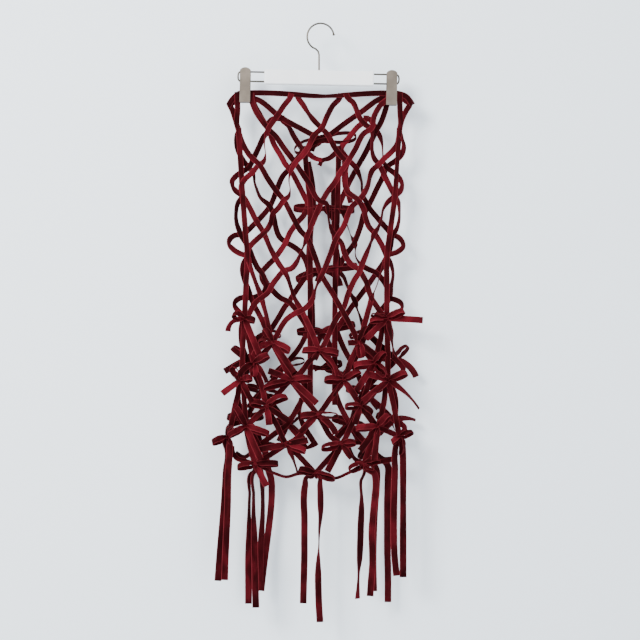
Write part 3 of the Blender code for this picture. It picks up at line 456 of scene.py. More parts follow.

# %% [markdown]
# ## The net
#
# Every ribbon of the net keeps its slant all the way down, so it runs from the waist across the front and
# round a side, or from the opening round a side to the hem. One function follows a slant from crossing to
# crossing. Ribbons of the two slants pass each other a little in front and a little behind. Half way
# between two crossings a ribbon is free to tilt, and some stretches stand right on edge and show as a thin
# line. A table gives the way of most stretches above the bows, and a rule bows or tilts the others a little.
#
# At the waist the ribbons are looped over the band: one leg goes down in front of it and the other behind.

# %% Table of the ribbons' ways
# From column, row, to column: the points on the way, each x, z, degrees of turn, and tenths of painted sheen.
# The painted sheen is brightness painted into the colour for how the brushed pile takes the light: at 0 it
# looks nearly black, at 10 it throws the light back.
WAYS = {
    (-4, 0, -4): ((-146.5, -175, 10, 2),),
    (4, 0, 4): ((140, -176, 10, 3),),
    (-7, 0, -6): ((-76, -164, 0, 2), (-87, -167, 0, 3), (-92, -176, 0, 3)),
    (-7, 0, -8): ((-56, -178, 35, 2), (-48, -193, 10, 2), (-38, -209, 0, 2)),
    (-3, 0, -2): ((-113, -153, 0, 3), (-102, -170, 0, 3)),
    (-1, 0, -2): ((-63, -142, 0, 4), (-73, -157, 0, 4), (-82, -170, 0, 5)),
    (-1, 0, 0): ((-31, -141, 0, 6), (-21, -157, 38, 3), (-11, -170, 0, 2)),
    (1, 0, 0): ((21, -144, 0, 3), (11, -163, 0, 4)),
    (1, 0, 2): ((57, -138, 0, 5), (63, -151, 20, 4), (68, -164, 0, 3), (77, -176, 0, 3)),
    (3, 0, 2): ((105, -142, 0, 5), (94, -161, 0, 4)),
    (5, 0, 6): ((111, -158, 0, 1), (104, -175, 0, 1)),
    (7, 0, 6): ((85, -165, 0, 5), (93, -175, 0, 3)),
    (7, 0, 8): ((64, -180, 0, 8), (50, -197, 0, 9), (38, -212, 0, 8)),
    (-6, 1, -7): ((-82, -209, 0, 7), (-70, -229, 0, 8), (-61, -245, 0, 7)),
    (-6, 1, -5): ((-99, -195, 0, 1), (-107, -212, 0, 1), (-117, -233, 0, 1)),
    (-4, 1, -5): ((-148, -195, 60, 5), (-148, -207, 45, 1), (-143, -224, 10, 1), (-135, -239, 0, 1)),
    (-4, 1, -3): ((-137, -207, 0, 3), (-123, -231, 0, 3)),
    (-2, 1, -3): ((-97, -200, 75, 7), (-98, -214, 82, 8), (-96, -228, 82, 8), (-100, -242, 35, 6)),
    (-2, 1, -1): ((-80, -195, 0, 2), (-63, -219, 0, 2), (-50, -236, 0, 2)),
    (0, 1, -1): ((-11, -195, 0, 4), (-22, -217, 0, 6), (-32, -231, 0, 7)),
    (0, 1, 1): ((13, -195, 0, 3), (24, -216, 0, 3), (35, -231, 0, 3)),
    (2, 1, 1): ((77, -191, 0, 4), (60, -221, 0, 4)),
    (2, 1, 3): ((90, -193, 45, 4), (90, -209, 52, 4), (90, -222, 45, 4), (94, -236, 20, 3)),
    (4, 1, 3): ((133, -212, 20, 4), (123, -225, 0, 6), (111, -236, 0, 6)),
    (4, 1, 5): ((143, -200, 50, 4), (146, -214, 30, 5), (142, -228, 0, 4), (132, -238, 0, 2)),
    (6, 1, 5): ((104, -195, 20, 4), (108, -209, 60, 5), (109, -224, 75, 5), (111, -239, 55, 4)),
    (6, 1, 7): ((94, -193, 0, 1), (79, -224, 0, 1)),
    (-7, 2, -6): ((-67, -266, 0, 1), (-75, -284, 0, 1)),
    (-5, 2, -6): ((-117, -263, 55, 1), (-116, -275, 66, 1), (-112, -288, 60, 1), (-106, -302, 50, 1)),
    (-5, 2, -4): ((-136, -257, 0, 2), (-148, -265, 0, 3), (-155, -275, 20, 4), (-154, -283, 50, 4),
        (-148, -292, 0, 3)),
    (-3, 2, -4): ((-119, -260, 0, 5), (-133, -273, 10, 6), (-139, -285, 20, 5)),
    (-3, 2, -2): ((-92, -271, 0, 2), (-80, -289, 0, 2)),
    (-1, 2, -2): ((-54, -265, 70, 8), (-55, -277, 80, 8), (-53, -291, 82, 8), (-55, -301, 55, 7)),
    (1, 2, 0): ((35, -260, 0, 6), (24, -279, 0, 6), (14, -292, 0, 4)),
    (1, 2, 2): ((43, -257, 0, 4), (42, -275, 0, 5), (46, -292, 0, 5)),
    (3, 2, 2): ((90, -257, 0, 4), (86, -268, 35, 4), (83, -282, 35, 4), (76, -297, 0, 5)),
    (3, 2, 4): ((110, -262, 0, 5), (120, -282, 0, 5)),
    (5, 2, 4): ((127, -258, 0, 2), (138, -269, 0, 3), (143, -281, 40, 4), (139, -293, 0, 5)),
    (5, 2, 6): ((110, -265, 0, 2), (99, -287, 0, 1)),
    (7, 2, 6): ((68, -263, 40, 1), (72, -275, 60, 0), (73, -291, 60, 0)),
    (-8, 3, -7): ((-29, -333, 0, 3), (-43, -349, 0, 8), (-54, -365, 0, 8)),
    (-6, 3, -7): ((-81, -341, 20, 1), (-78, -357, 15, 1), (-71, -373, 0, 1)),
    (-6, 3, -5): ((-106, -339, 0, 3), (-119, -352, 0, 3), (-129, -362, 0, 2)),
    (-4, 3, -5): ((-144, -312, 30, 2), (-148, -330, 50, 1), (-147, -348, 40, 1), (-143, -360, 20, 1)),
    (-4, 3, -3): ((-123, -323, 0, 5), (-112, -345, 0, 5)),
    (-2, 3, -3): ((-73, -322, 0, 5), (-84, -334, 25, 3), (-87, -348, 30, 2), (-92, -358, 0, 4)),
    (-2, 3, -1): ((-47, -341, 0, 2), (-35, -362, 0, 2)),
    (0, 3, 1): ((9, -314, 20, 2), (13, -332, 60, 2), (16, -351, 62, 2), (22, -366, 20, 2)),
    (2, 3, 1): ((55, -320, 0, 5), (48, -334, 0, 5), (41, -353, 15, 6), (34, -365, 0, 6)),
    (2, 3, 3): ((74, -322, 0, 4), (79, -340, 15, 3), (84, -354, 0, 4)),
    (4, 3, 3): ((120, -309, 20, 4), (110, -323, 60, 4), (106, -342, 62, 4), (100, -358, 45, 4)),
    (4, 3, 5): ((136, -311, 30, 4), (138, -326, 55, 5), (137, -346, 50, 5), (132, -361, 30, 4)),
    (6, 3, 5): ((103, -342, 0, 2), (115, -356, 0, 2)),
    (6, 3, 7): ((76, -332, 0, 3), (71, -351, 0, 2), (64, -371, 0, 2)),
    (8, 3, 7): ((41, -335, 50, 1), (48, -355, 78, 1), (54, -371, 72, 1)),
    (-7, 4, -8): ((-47, -389, 0, 1), (-34, -400, 0, 1), (-26, -413, 0, 1)),
    (-7, 4, -6): ((-72, -398, 0, 8), (-81, -410, 0, 3), (-93, -422, 0, 2)),
    (-5, 4, -6): ((-127, -389, 0, 2), (-117, -413, 0, 1), (-110, -427, 0, 1)),
    (-5, 4, -4): ((-150, -369, 0, 2), (-159, -376, 10, 1), (-161, -383, 50, 4), (-154, -393, 0, 4),
        (-142, -401, 0, 5)),
    (-3, 4, -4): ((-108, -374, 0, 4), (-119, -384, 0, 4), (-126, -393, 0, 5)),
    (-3, 4, -2): ((-91, -385, 28, 4), (-81, -405, 0, 5), (-71, -422, 0, 4)),
    (-1, 4, -2): ((-29, -388, 68, 4), (-35, -401, 68, 4), (-41, -416, 35, 5), (-51, -428, 0, 6)),
    (1, 4, 2): ((36, -383, 20, 4), (42, -402, 0, 4), (52, -419, 0, 4)),
    (3, 4, 2): ((90, -377, 55, 4), (85, -390, 50, 5), (78, -407, 15, 6), (72, -422, 0, 6)),
    (3, 4, 4): ((105, -383, 0, 4), (111, -395, 0, 4)),
    (5, 4, 4): ((136, -372, 0, 3), (144, -382, 25, 3), (145, -389, 30, 4), (137, -397, 0, 4)),
    (5, 4, 6): ((124, -381, 0, 2), (120, -399, 0, 2), (110, -418, 0, 3)),
    (7, 4, 6): ((61, -393, 75, 1), (62, -407, 75, 1), (69, -418, 55, 1), (81, -427, 0, 2)),
    (-8, 5, -7): ((-27, -442, 0, 2), (-37, -457, 0, 2), (-47, -472, 0, 2)),
    (-6, 5, -7): ((-96, -450, 0, 2), (-84, -466, 0, 2), (-70, -479, 0, 2)),
    (-6, 5, -5): ((-102, -447, 0, 2), (-96, -458, 20, 2), (-100, -470, 0, 2), (-111, -476, 0, 2)),
    (-4, 5, -5): ((-135, -419, 20, 2), (-137, -431, 30, 2), (-133, -448, 20, 2), (-126, -466, 0, 1)),
    (-4, 5, -3): ((-124, -421, 30, 6), (-118, -439, 42, 6), (-111, -458, 42, 6)),
    (-2, 5, -3): ((-75, -444, 0, 6), (-84, -456, 0, 6), (-91, -469, 0, 5)),
    (-2, 5, -1): ((-58, -442, 35, 4), (-52, -460, 48, 4), (-46, -478, 45, 4)),
    (0, 5, -1): ((-5, -454, 60, 4), (-10, -468, 62, 4), (-13, -480, 30, 5), (-22, -493, 0, 6)),
    (2, 5, 1): ((59, -448, 0, 6), (48, -473, 0, 5)),
    (2, 5, 3): ((74, -441, 0, 5), (80, -452, 20, 3), (84, -466, 0, 4)),
    (4, 5, 3): ((111, -421, 40, 3), (104, -439, 75, 3), (98, -458, 80, 3), (92, -473, 60, 3)),
    (4, 5, 5): ((123, -419, 30, 4), (127, -435, 50, 4), (124, -460, 40, 3)),
    (6, 5, 5): ((106, -443, 0, 3), (113, -453, 0, 2), (119, -466, 0, 1)),
    (6, 5, 7): ((85, -454, 0, 3), (71, -473, 0, 3)),
    (8, 5, 7): ((40, -441, 40, 1), (47, -458, 55, 1), (54, -473, 55, 1)),
    (-7, 6, -6): ((-63, -495, 0, 2), (-70, -507, 0, 2)),
    (-5, 6, -4): ((-136, -478, 0, 2), (-146, -482, 0, 2), (-151, -489, 45, 2), (-148, -497, 20, 4),
        (-141, -505, 0, 5)),
    (-3, 6, -4): ((-112, -486, 0, 5), (-120, -497, 0, 4), (-125, -507, 0, 4)),
    (-3, 6, -2): ((-100, -490, 30, 5), (-96, -504, 42, 4)),
    (-1, 6, -2): ((-44, -506, 0, 6), (-55, -513, 0, 6)),
    (1, 6, 0): ((30, -512, 0, 3),),
    (3, 6, 2): ((87, -488, 0, 6), (83, -502, 0, 6)),
    (3, 6, 4): ((97, -492, 0, 4), (107, -506, 0, 4)),
    (5, 6, 4): ((131, -482, 0, 2), (141, -488, 20, 2), (143, -496, 50, 4), (132, -506, 0, 4)),
    (7, 6, 6): ((64, -497, 66, 1), (68, -508, 66, 1)),
    (0, 7, -1): ((-8, -579, 0, 3), (-20, -590, 0, 3), (-30, -604, 0, 3), (-41, -616, 0, 4)),
    (4, 7, 5): ((123, -527, 60, 3), (127, -540, 72, 3), (126, -556, 72, 3), (128, -572, 60, 2)),
    (0, 9, -1): ((-12, -689, 0, 4), (-24, -699, 0, 4), (-31, -713, 20, 4), (-44, -726, 0, 5)),
    (0, 9, 1): ((1, -692, 0, 1), (8, -705, 0, 1), (18, -721, 0, 2), (29, -729, 0, 3)),
    (-1, 10, 0): ((-42, -750, 0, 1), (-26, -767, 0, 1)),
    (1, 10, 2): ((48, -738, 40, 3), (53, -748, 55, 2), (59, -759, 50, 2)),
}
# How far the other ribbons between columns 4 and 5 bow out past the side, by the row they leave.
SIDE_BOW = {0: 6, 1: 4, 2: 24, 3: 9, 4: 26, 5: 8, 6: 23, 7: 8, 8: 20, 9: 8, 10: 14}
SIDE_TURN = 18  # and by how many degrees they turn there
# Where the legs of the ribbons that are looped over the band leave it: column, slant, x.
Leg = namedtuple("Leg", "column slant x")
LEGS = (Leg(-1, -1, -53), Leg(-1, 1, -39), Leg(1, -1, 33.5), Leg(1, 1, 47))
OVER = 0.8  # how far a ribbon lies in front of or behind the crossing's own plane
INSET = 3  # how far an end stops short of the edge ribbon's middle, which hides its cut corners
PINCH, PINCHED_WIDTH = 0.22, 9.6  # the gathering and the width at a crossing
# The tops of the four ribbons beside the clips: x, y, z, turn, painted sheen in tenths.
CLIP_TOPS = {
    (-4, 1): ((-160, 0.6, -139, 0, 2), (-154, 0.8, -151, 0, 3), (-150, 0.9, -164, 20, 4)),
    (4, -1): ((156.5, 0.6, -141, 0, 3), (149.5, 0.8, -152, 15, 5), (144, 0.9, -165, 35, 5)),
    (-4, -1): ((-145.5, -2.2, -119, 0, 2), (-145.5, -2.2, -128, 0, 3), (-145, -1.8, -152, 8, 3)),
    (4, 1): ((138.5, -2.2, -119, 0, 2), (138.5, -2.2, -128, 0, 3), (139, -1.8, -152, 8, 3)),
}


def strand(column, at, slant):
    """The crossings of one ribbon: one column over for each row down, to the opening or the hem."""
    found = [(column, at)]
    while at < HEM_ROW and abs(column + slant) <= 8:
        column, at = column + slant, at + 1
        found.append((column, at))
    return found


def is_over(column, at, slant):
    """Whether the ribbon of this slant lies on top: mostly the one that runs down to the left does."""
    swapped = (column * 5 + at * 3) % 7 in (2, 5)
    return (slant < 0) != swapped


def strand_rows(knots, slant):
    """A ribbon's rows: its crossings, pinched a little, and the points on the way from each to the next."""
    rows = []
    for place, (column, at) in enumerate(knots):
        inset = INSET * np.sign(column) if abs(column) == 8 else 0
        spot = crossing(column, at) + (inset, -OVER if is_over(column, at, slant) else OVER, 0)
        rows += waist_rows(column, slant, spot) if at == 0 else [row(spot, 0, PINCH, PINCHED_WIDTH, np.nan)]
        if place + 1 < len(knots):
            rows += way_rows(knots[place], knots[place + 1], slant)
    rows = np.array(rows)
    known = ~np.isnan(rows[:, 6])
    if known.any():
        rows[:, 6] = np.interp(np.arange(len(rows)), np.flatnonzero(known), rows[known, 6])
    return np.nan_to_num(rows, nan=0.35)


def waist_rows(column, slant, spot):
    """The top of a ribbon: a leg from the fold over the band, or the way out of a clip or beside it."""
    for leg in LEGS:
        if (leg.column, leg.slant) == (column, slant):
            face = -1 if slant == np.sign(column) else 1
            top, down = (leg.x - 2.5 * slant, -2.4 + 1.7 * face, -121.6), (leg.x, -2.4 + 2.2 * face, -129)
            return [row(top, nap=np.nan), row(down, nap=np.nan)]
    if abs(column) == 4:
        return [row((x, y, z), turn, nap=nap / 10) for x, y, z, turn, nap in CLIP_TOPS[column, slant]]
    if abs(column) == 3:
        return [row((spot[0], -2.2, -120), nap=np.nan), row((spot[0], -2.2, -128), nap=np.nan)]
    return [row(spot + (0, 0, 5), nap=np.nan), row(spot, nap=np.nan)]


def way_rows(start, stop, slant):
    """The points between two crossings: from the table, or else one free middle that bows round a side."""
    one, two = crossing(*start), crossing(*stop)
    points = WAYS.get((start[0], start[1], stop[0]))
    if points:
        share = np.linspace(0, 1, len(points) + 2)[1:-1]
        depth = one[1] + (two[1] - one[1]) * share**2 * (3 - 2 * share)
        return [row((x, y, z), turn, 0, WIDTH, nap / 10) for (x, z, turn, nap), y in zip(points, depth)]
    if sorted((abs(start[0]), abs(stop[0]))) == [4, 5]:
        bow = SIDE_BOW[start[1]] * np.sign(start[0])
        return [row((one + two) / 2 + (bow, 0, 0), -SIDE_TURN * np.sign(bow) * slant, nap=0.3)]
    shift = np.array([dice.normal(0, 1.2), 0, 0])
    return [row((one + two) / 2 + shift, dice.normal(0, 12), nap=np.clip(dice.normal(0.32, 0.16), 0.05, 0.9))]


net = Cloth()
starts = [(7, 0), (5, 0), (4, 0), (1, 0), (-1, 0), (-3, 0), (-4, 0), (-7, 0)]
starts += [(-8, at) for at in range(1, HEM_ROW, 2)]
for slant in (1, -1):
    for column, at in starts:
        knots = strand(column * slant, at, slant)
        if (abs(column), at) == (4, 0):
            knots = [(column * slant, 0), *strand(column * slant, 1, slant)]
        rows = strand_rows(knots, slant)
        net.lay(rows, reverse=0.0 if (column, at) == (7, 0) else 1.0)
net.piece("velvet_net", ["net_front", "net_back_left", "net_back_right"])
print("net ribbon:", round(net.length / 1000, 2), "m in", len(starts) * 2, "ribbons,", net.count, "points")

# %% [markdown]
# ## Bands, side ribbons and the edges of the opening
#
# The waistband is one ribbon: level in front, folded over outside each clip, and back in a V to the centre
# behind. A ribbon runs down each side over the crossings, one edges each side of the opening, and one hangs
# in scallops from knot to knot along the hem. They are laid along the same kind of path as the net.

# %% Waistband
TIE_X = 3.0  # the opening's middle line
# The places along the band: x, y, z, and in front also the turn.
BAND_FRONT = ((-161, -0.3, -142.5, 0), (-158, -1, -137, 0), (-150, -1, -127, 0), (-142, -1, -121.5, 0),
              (-121, -1, -120.5, 0), (-50, -2.5, -123, 8), (-12, -2.5, -126, 24), (8, -2.5, -126.5, 38),
              (22, -2.5, -126, 34), (50, -2.5, -124, 12), (119, -1, -121, 0), (138, -1, -122, 0),
              (150, -1, -127, 0), (158, -1, -136.5, 0), (161, -0.3, -141.5, 0))
BAND_BACK = {
    "left": ((-161, 0.3, -142.5), (-152, 1, -136), (-140, 1, -127), (-113, 1, -131), (-69, 2.9, -163),
             (-35, 2.9, -182)),
    "right": ((161, 0.3, -141.5), (152, 1, -136), (140, 1, -127), (109, 1, -129), (70, 2.9, -154),
              (36, 2.9, -178)),
}
band = Cloth()
band.lay([row((x, y, z), turn, nap=0.1) for x, y, z, turn in BAND_FRONT], 3)
band.piece("velvet_waistband_front", ["waistband_front"])
print("front of the waistband:", round(band.length), "mm")
for side, places in BAND_BACK.items():
    band = Cloth()
    end = (TIE_X + np.sign(places[0][0]) * 5, 2.9, -200)
    band.lay([*(row(place, nap=0.25) for place in places), row(end, 0, 0.45, nap=0.25)], 3, reverse=0.0)
    band.piece(f"velvet_waistband_back_{side}", [f"waistband_back_{side}"])
print("one side of the waistband behind:", round(band.length), "mm")

# %% Side ribbons
for sign, side in ((-1, "left"), (1, "right")):
    ribbon = Cloth()
    rows = []
    for at in range(1, HEM_ROW + 1, 2):
        x, _, z = crossing(sign * 4, at)
        rows.append(row((x, -2.9, z), dice.normal(0, 6), 0.15))
        if at < HEM_ROW:
            x_next, _, z_next = crossing(sign * 4, at + 2)
            rows.append(row(((x + x_next) / 2, -2.9, (z + z_next) / 2), dice.normal(0, 22)))
    rows[0] = row(np.array(rows[0][:3]) + (0, 0, 6))
    rows[-1] = row(np.array(rows[-1][:3]) - (0, 0, 6))
    ribbon.lay(rows)
    ribbon.piece(f"velvet_side_ribbon_{side}", [f"side_ribbon_{side}"])
print("each side ribbon:", round(ribbon.length), "mm")

# %% Edges of the opening
EDGE_TOP = -212.0
EDGE_FOOT = {"left": -655.0, "right": -667.0}
EDGE_Y, STRIP_Y = 6.5, 7.6


def edge_x(sign, height):
    """The x of an edge ribbon at a height, on straight lines between the crossings of column 8."""
    knots = [crossing(sign * 8, at) for at in (7, 5, 3, 1)]
    return float(np.interp(height, [k[2] for k in knots], [k[0] for k in knots]))


# The straps to the ties: height, how much higher each starts at its edge, and its painted sheen in tenths.
Strap = namedtuple("Strap", "height left_rise right_rise left_nap right_nap")
STRAPS = (
    Strap(-237, 14, 15, 8, 2), Strap(-322, 0, 0, 4, 3), Strap(-430, 0, 2, 4, 3), Strap(-537, 0, 0, 4, 3),
    Strap(-602, 2, 1, 2, 1),
)
# More strips beside the two edges: x, z, turn, painted sheen in tenths.
SECOND_STRIPS = {
    "left": (((-22, -240, 0, 1), (-17, -262, 15, 1), (-13, -290, 10, 2), (-13, -322, 0, 3),
              (-16, -352, 15, 3), (-20, -392, 0, 2), (-21, -425, 15, 2), (-16, -470, 0, 2),
              (-14, -520, 10, 2), (-15, -570, 0, 2)),),
    "right": (((23, -283, 20, 1), (23, -308, 10, 1), (24, -334, 20, 2), (24, -369, 10, 2), (28, -395, 0, 1),
               (31, -415, 0, 2), (31, -438, 0, 2)),
              ((42, -238, 0, 4), (44, -262, 0, 5), (47, -288, 0, 5), (53, -312, 20, 4))),
}
for sign, side in ((-1, "left"), (1, "right")):
    edge = Cloth()
    rows = []
    for z in np.linspace(EDGE_TOP, EDGE_FOOT[side], 14):
        rows.append(row((edge_x(sign, z), EDGE_Y, z), dice.normal(0, 7), 0.1, nap=0.35 + dice.normal(0, 0.1)))
    edge.lay(rows, reverse=0.0)
    for strip in SECOND_STRIPS[side]:
        edge.lay([row((x, STRIP_Y, z), turn, nap=nap / 10) for x, z, turn, nap in strip], reverse=0.0)
    for line in STRAPS:
        x, end, height = edge_x(sign, line.height), TIE_X + sign * 0.6, line.height
        rise, nap = (line.left_rise, line.left_nap) if sign < 0 else (line.right_rise, line.right_nap)
        way = (
            (x, 6.9, height + rise, 0, 0.1), (x - sign * 5, 7.2, height + rise * 0.8, 0, 0.3),
            (end + (x - end) * 0.4, 7.9, height + rise * 0.2, 0, 0.6), (end, 8.1, height, 0, 0.9),
        )
        edge.lay([(*place, WIDTH, nap / 10) for place in way], 2, reverse=0.0)
    edge.piece(f"velvet_placket_ribbon_{side}", [f"placket_ribbon_{side}"])
print("one edge of the opening, with its straps:", round(edge.length), "mm")

# %% Hem ribbons
# The places along the ribbons: x, y, z, turn. Behind, the second strip is folded up beside the opening.
HEM_FRONT = (
    (-155, -3.4, -738, 30), (-153, -4.5, -750, 35), (-146, -6, -759, 40), (-130, -7, -764, 45),
    (-114, -7.5, -769, 55), (-80, -8.5, -785, 66), (-60, -9, -791, 66), (-36, -9, -785, 58),
    (-9, -8.6, -786, 50), (28, -9, -793, 64), (45, -9, -786, 64), (75, -7.6, -771, 55), (104, -7, -765, 40),
    (128, -5, -758, 35), (132, -3.4, -750, 30),
)
hem = Cloth()
hem.lay([row((x, y, z), turn, nap=0.3) for x, y, z, turn in HEM_FRONT], 3)
hem.piece("velvet_hem_ribbon_front", ["hem_ribbon_front"])
print("hem ribbon in front:", round(hem.length), "mm")
HEM_BACK = (
    ((-149, 4.8, -750, 50), (-136, 5.2, -758, 50), (-108, 6.5, -738, 38), (-23, 6.5, -742, 62),
     (-8, 6.8, -734, 10)),
    ((-7.5, 8.4, -739, 0), (-16.5, 8.6, -725, 0), (-25.5, 8.6, -711, 0), (-32.5, 8.6, -697, 20),
     (-37, 8.4, -681, 50), (-36, 8.2, -668, 40), (-33, 8, -655, 10)),
    ((17, 6.5, -742, 60), (84, 6.5, -738, 46), (98, 6.5, -752, 40), (112, 6, -762, 40), (126, 5, -761, 40)),
)
hem = Cloth()
for strip in HEM_BACK:
    hem.lay([row((x, y, z), turn, nap=0.12) for x, y, z, turn in strip], 3, reverse=0.0)
hem.piece("velvet_hem_ribbon_back", ["hem_ribbon_back"])
print("hem ribbon behind:", round(hem.length), "mm")

# %% [markdown]
# ## Bows
#
# A bow is two loops and two ends that come out of a knot. In the knot the ribbon is gathered to a narrow
# fold, and it opens to its full width a finger's breadth away. A loop is a teardrop: it runs out, turns
# round at its tip and comes back. Seen flat it is a double layer of ribbon, seen from its edge it is a thin
# open ring, and the turn in the table says which. The knot is a short band of the same ribbon wrapped round
# the gathers.

# %% Loops, ends and knots
GATHER = 1.35  # how far the ribbon is folded in the knot
SPREAD = 11.0  # how far from the knot it has opened out again
KNOT_HALF = 2.5  # from the bow's middle to where its arms start
LOOP_ROWS, END_ROWS, KNOT_ROWS = 25, 9, 20
KNOT_TALL, KNOT_DEEP, KNOT_WIDTH = 4.1, 3.0, 9.4  # the half axes of the knot's ellipse, and its width
KNOT_CUP = -0.62  # the gathering that curls its edges in
BOW_REVERSE = 0.4  # how much of the satin's look the reverse has in a bow
BOW_STEP = 1.8
RISE = 1.6  # an arm stands out by its full lift after one part in 1.6 of its length
LOOP_SAG, END_SAG = 2.2, 2.0  # how far the tip of an arm droops
SHEEN_STEPS, LONG_SHEEN_STEPS = 12, 13  # the steps of painted sheen from dark to light, in short arms and in long ends
# angle: degrees anticlockwise from the right as the front is seen; turn: degrees that the ribbon is turned
# on edge, so that a loop's near layer rises above the far one; nap: the painted sheen, in steps;
# open: how far a loop's layers part; bend: degrees by which the arm curves on its way; step: how much
# further out a long end hangs.
Loop = namedtuple("Loop", "angle length turn nap open bend", defaults=(42, 4, 12, 0))
End = namedtuple("End", "angle length turn nap bend", defaults=(0, 4, 0))
LongEnd = namedtuple("LongEnd", "angle step way")


def aim(degrees):
    angle = np.radians(degrees)
    return np.stack([np.cos(angle), 0 * angle, np.sin(angle)], axis=-1)


def gathered(reach):
    """The gathering at a distance from the bow's middle: a quarter of a cosine from the knot outwards."""
    return GATHER * np.cos(np.clip((reach - KNOT_HALF) / SPREAD, 0, 1) * np.pi / 2) ** 1.3


def upward(direction, out):
    """The direction square to both that points up."""
    side = np.cross(direction, out)
    return side if side[2] > 0 else -side


def lay_loop(cloth, place, arm, out, lift):
    """A loop: its reach goes as (1 - cos p) / 2, and its layers part by sin p times the root of sin p/2."""
    d = aim(arm.angle + arm.bend / 2)
    turn = np.radians(arm.turn)
    opening = out * np.cos(turn) + upward(d, out) * np.sin(turn)
    p = np.linspace(0, 2 * np.pi, LOOP_ROWS)
    share = (1 - np.cos(p)) / 2
    reach = KNOT_HALF + arm.length * share
    swell = np.sin(p) * np.sqrt(np.abs(np.sin(p / 2))) * arm.open / 2
    height = lift * np.minimum(1, share * RISE)
    places = place + aim(arm.angle + arm.bend * share) * reach[:, None]
    places += out * height[:, None] + opening * swell[:, None]
    places[:, 2] -= LOOP_SAG * share**2 * abs(d[0])
    sway = dice.normal(0, 5) * np.sin(p) + dice.normal(0, 5) * share
    # the far layer of a loop gets less painted sheen, so it is painted darker than the near layer
    nap = arm.nap / SHEEN_STEPS * (1 - 0.45 * (p > np.pi)) + 0.1 * share
    rows = np.column_stack([places, sway, gathered(reach), np.full(LOOP_ROWS, LOOP_WIDTH), nap])
    cloth.lay(rows, BOW_STEP, np.cross(d, opening), reverse=BOW_REVERSE)


def lay_end(cloth, place, arm, out, lift):
    """A short end: it leaves the knot gathered, opens, bends, droops a little and is cut straight across."""
    share = np.linspace(0, 1, END_ROWS)
    length = arm.length + 2
    headings = aim(arm.angle + arm.bend * share**1.3)
    steps = (headings[1:] + headings[:-1]) / 2
    moved = np.concatenate([[(0, 0, 0)], np.cumsum(steps, axis=0)]) * length / (END_ROWS - 1)
    reach = KNOT_HALF + length * share
    height = lift * np.minimum(1, share * RISE)
    places = place + headings[0] * KNOT_HALF + moved + out * height[:, None]
    places[:, 2] -= END_SAG * share**2
    turn = arm.turn * np.sin(np.minimum(share * 1.3, 1) * np.pi / 2) + dice.normal(0, 8) * np.sin(share * 4)
    nap = arm.nap / SHEEN_STEPS + 0.08 * np.sin(share * 5)
    rows = np.column_stack([places, turn, gathered(reach), np.full(END_ROWS, SHORT_WIDTH), nap])
    cloth.lay(rows, BOW_STEP, facing=out, reverse=BOW_REVERSE)


def lay_long_end(cloth, place, arm, out, lift):
    """A long end: aside from the knot, then down along its way of x, z, turn and painted sheen to where it is
    cut.
    """
    way = np.array(arm.way, float)
    d = aim(arm.angle)
    places = np.vstack([place + d * KNOT_HALF, place + d * 9, np.insert(way[:, :2], 1, place[1], axis=1)])
    reach = np.linalg.norm(places - place, axis=1)
    places += out * ((lift + arm.step) * np.clip(reach / 55, 0, 1) ** 0.8)[:, None]
    turn, nap = (np.concatenate([[way[0, k], way[0, k]], way[:, k]]) for k in (2, 3))
    width = np.full(len(places), END_WIDTH)
    rows = np.column_stack([places, turn * (reach > 5), gathered(reach), width, nap / LONG_SHEEN_STEPS])
    cloth.lay(rows, 2.5, facing=out, reverse=BOW_REVERSE)


def lay_knot(cloth, place, axis, out):
    """The knot: a band round the gathers, on an ellipse across the bow's own axis, its edges drawn in."""
    p = np.linspace(-0.25, 2 * np.pi + 0.1, KNOT_ROWS)[:, None] - np.pi / 2
    places = place + np.cross(axis, out) * KNOT_TALL * np.cos(p) + out * KNOT_DEEP * np.sin(p)
    turn_to_sheen = np.tile((0, KNOT_CUP, KNOT_WIDTH, 0.5), (KNOT_ROWS, 1))
    cloth.lay(np.column_stack([places, turn_to_sheen]), 1.4, np.cross(out, np.cross(axis, out)))


def lay_bow(cloth, place, arms, out, lift):
    makers = {Loop: lay_loop, End: lay_end, LongEnd: lay_long_end}
    for arm in arms:
        makers[type(arm)](cloth, place, arm, out, lift)
    lay_knot(cloth, place, unit(aim(arms[0].angle) - aim(arms[1].angle)), out)


print("a loop is laid through", LOOP_ROWS, "rows, a short end through", END_ROWS)

# %% [markdown]
# ## The bows of the front and of the back
#
# The lower third of the skirt has a bow at nearly every crossing, twenty-three in front and thirteen behind.
# Neighbours stand out from the net by different amounts, so their loops pass over each other. At the hem
# two long ends hang from each knot instead of the short ones.

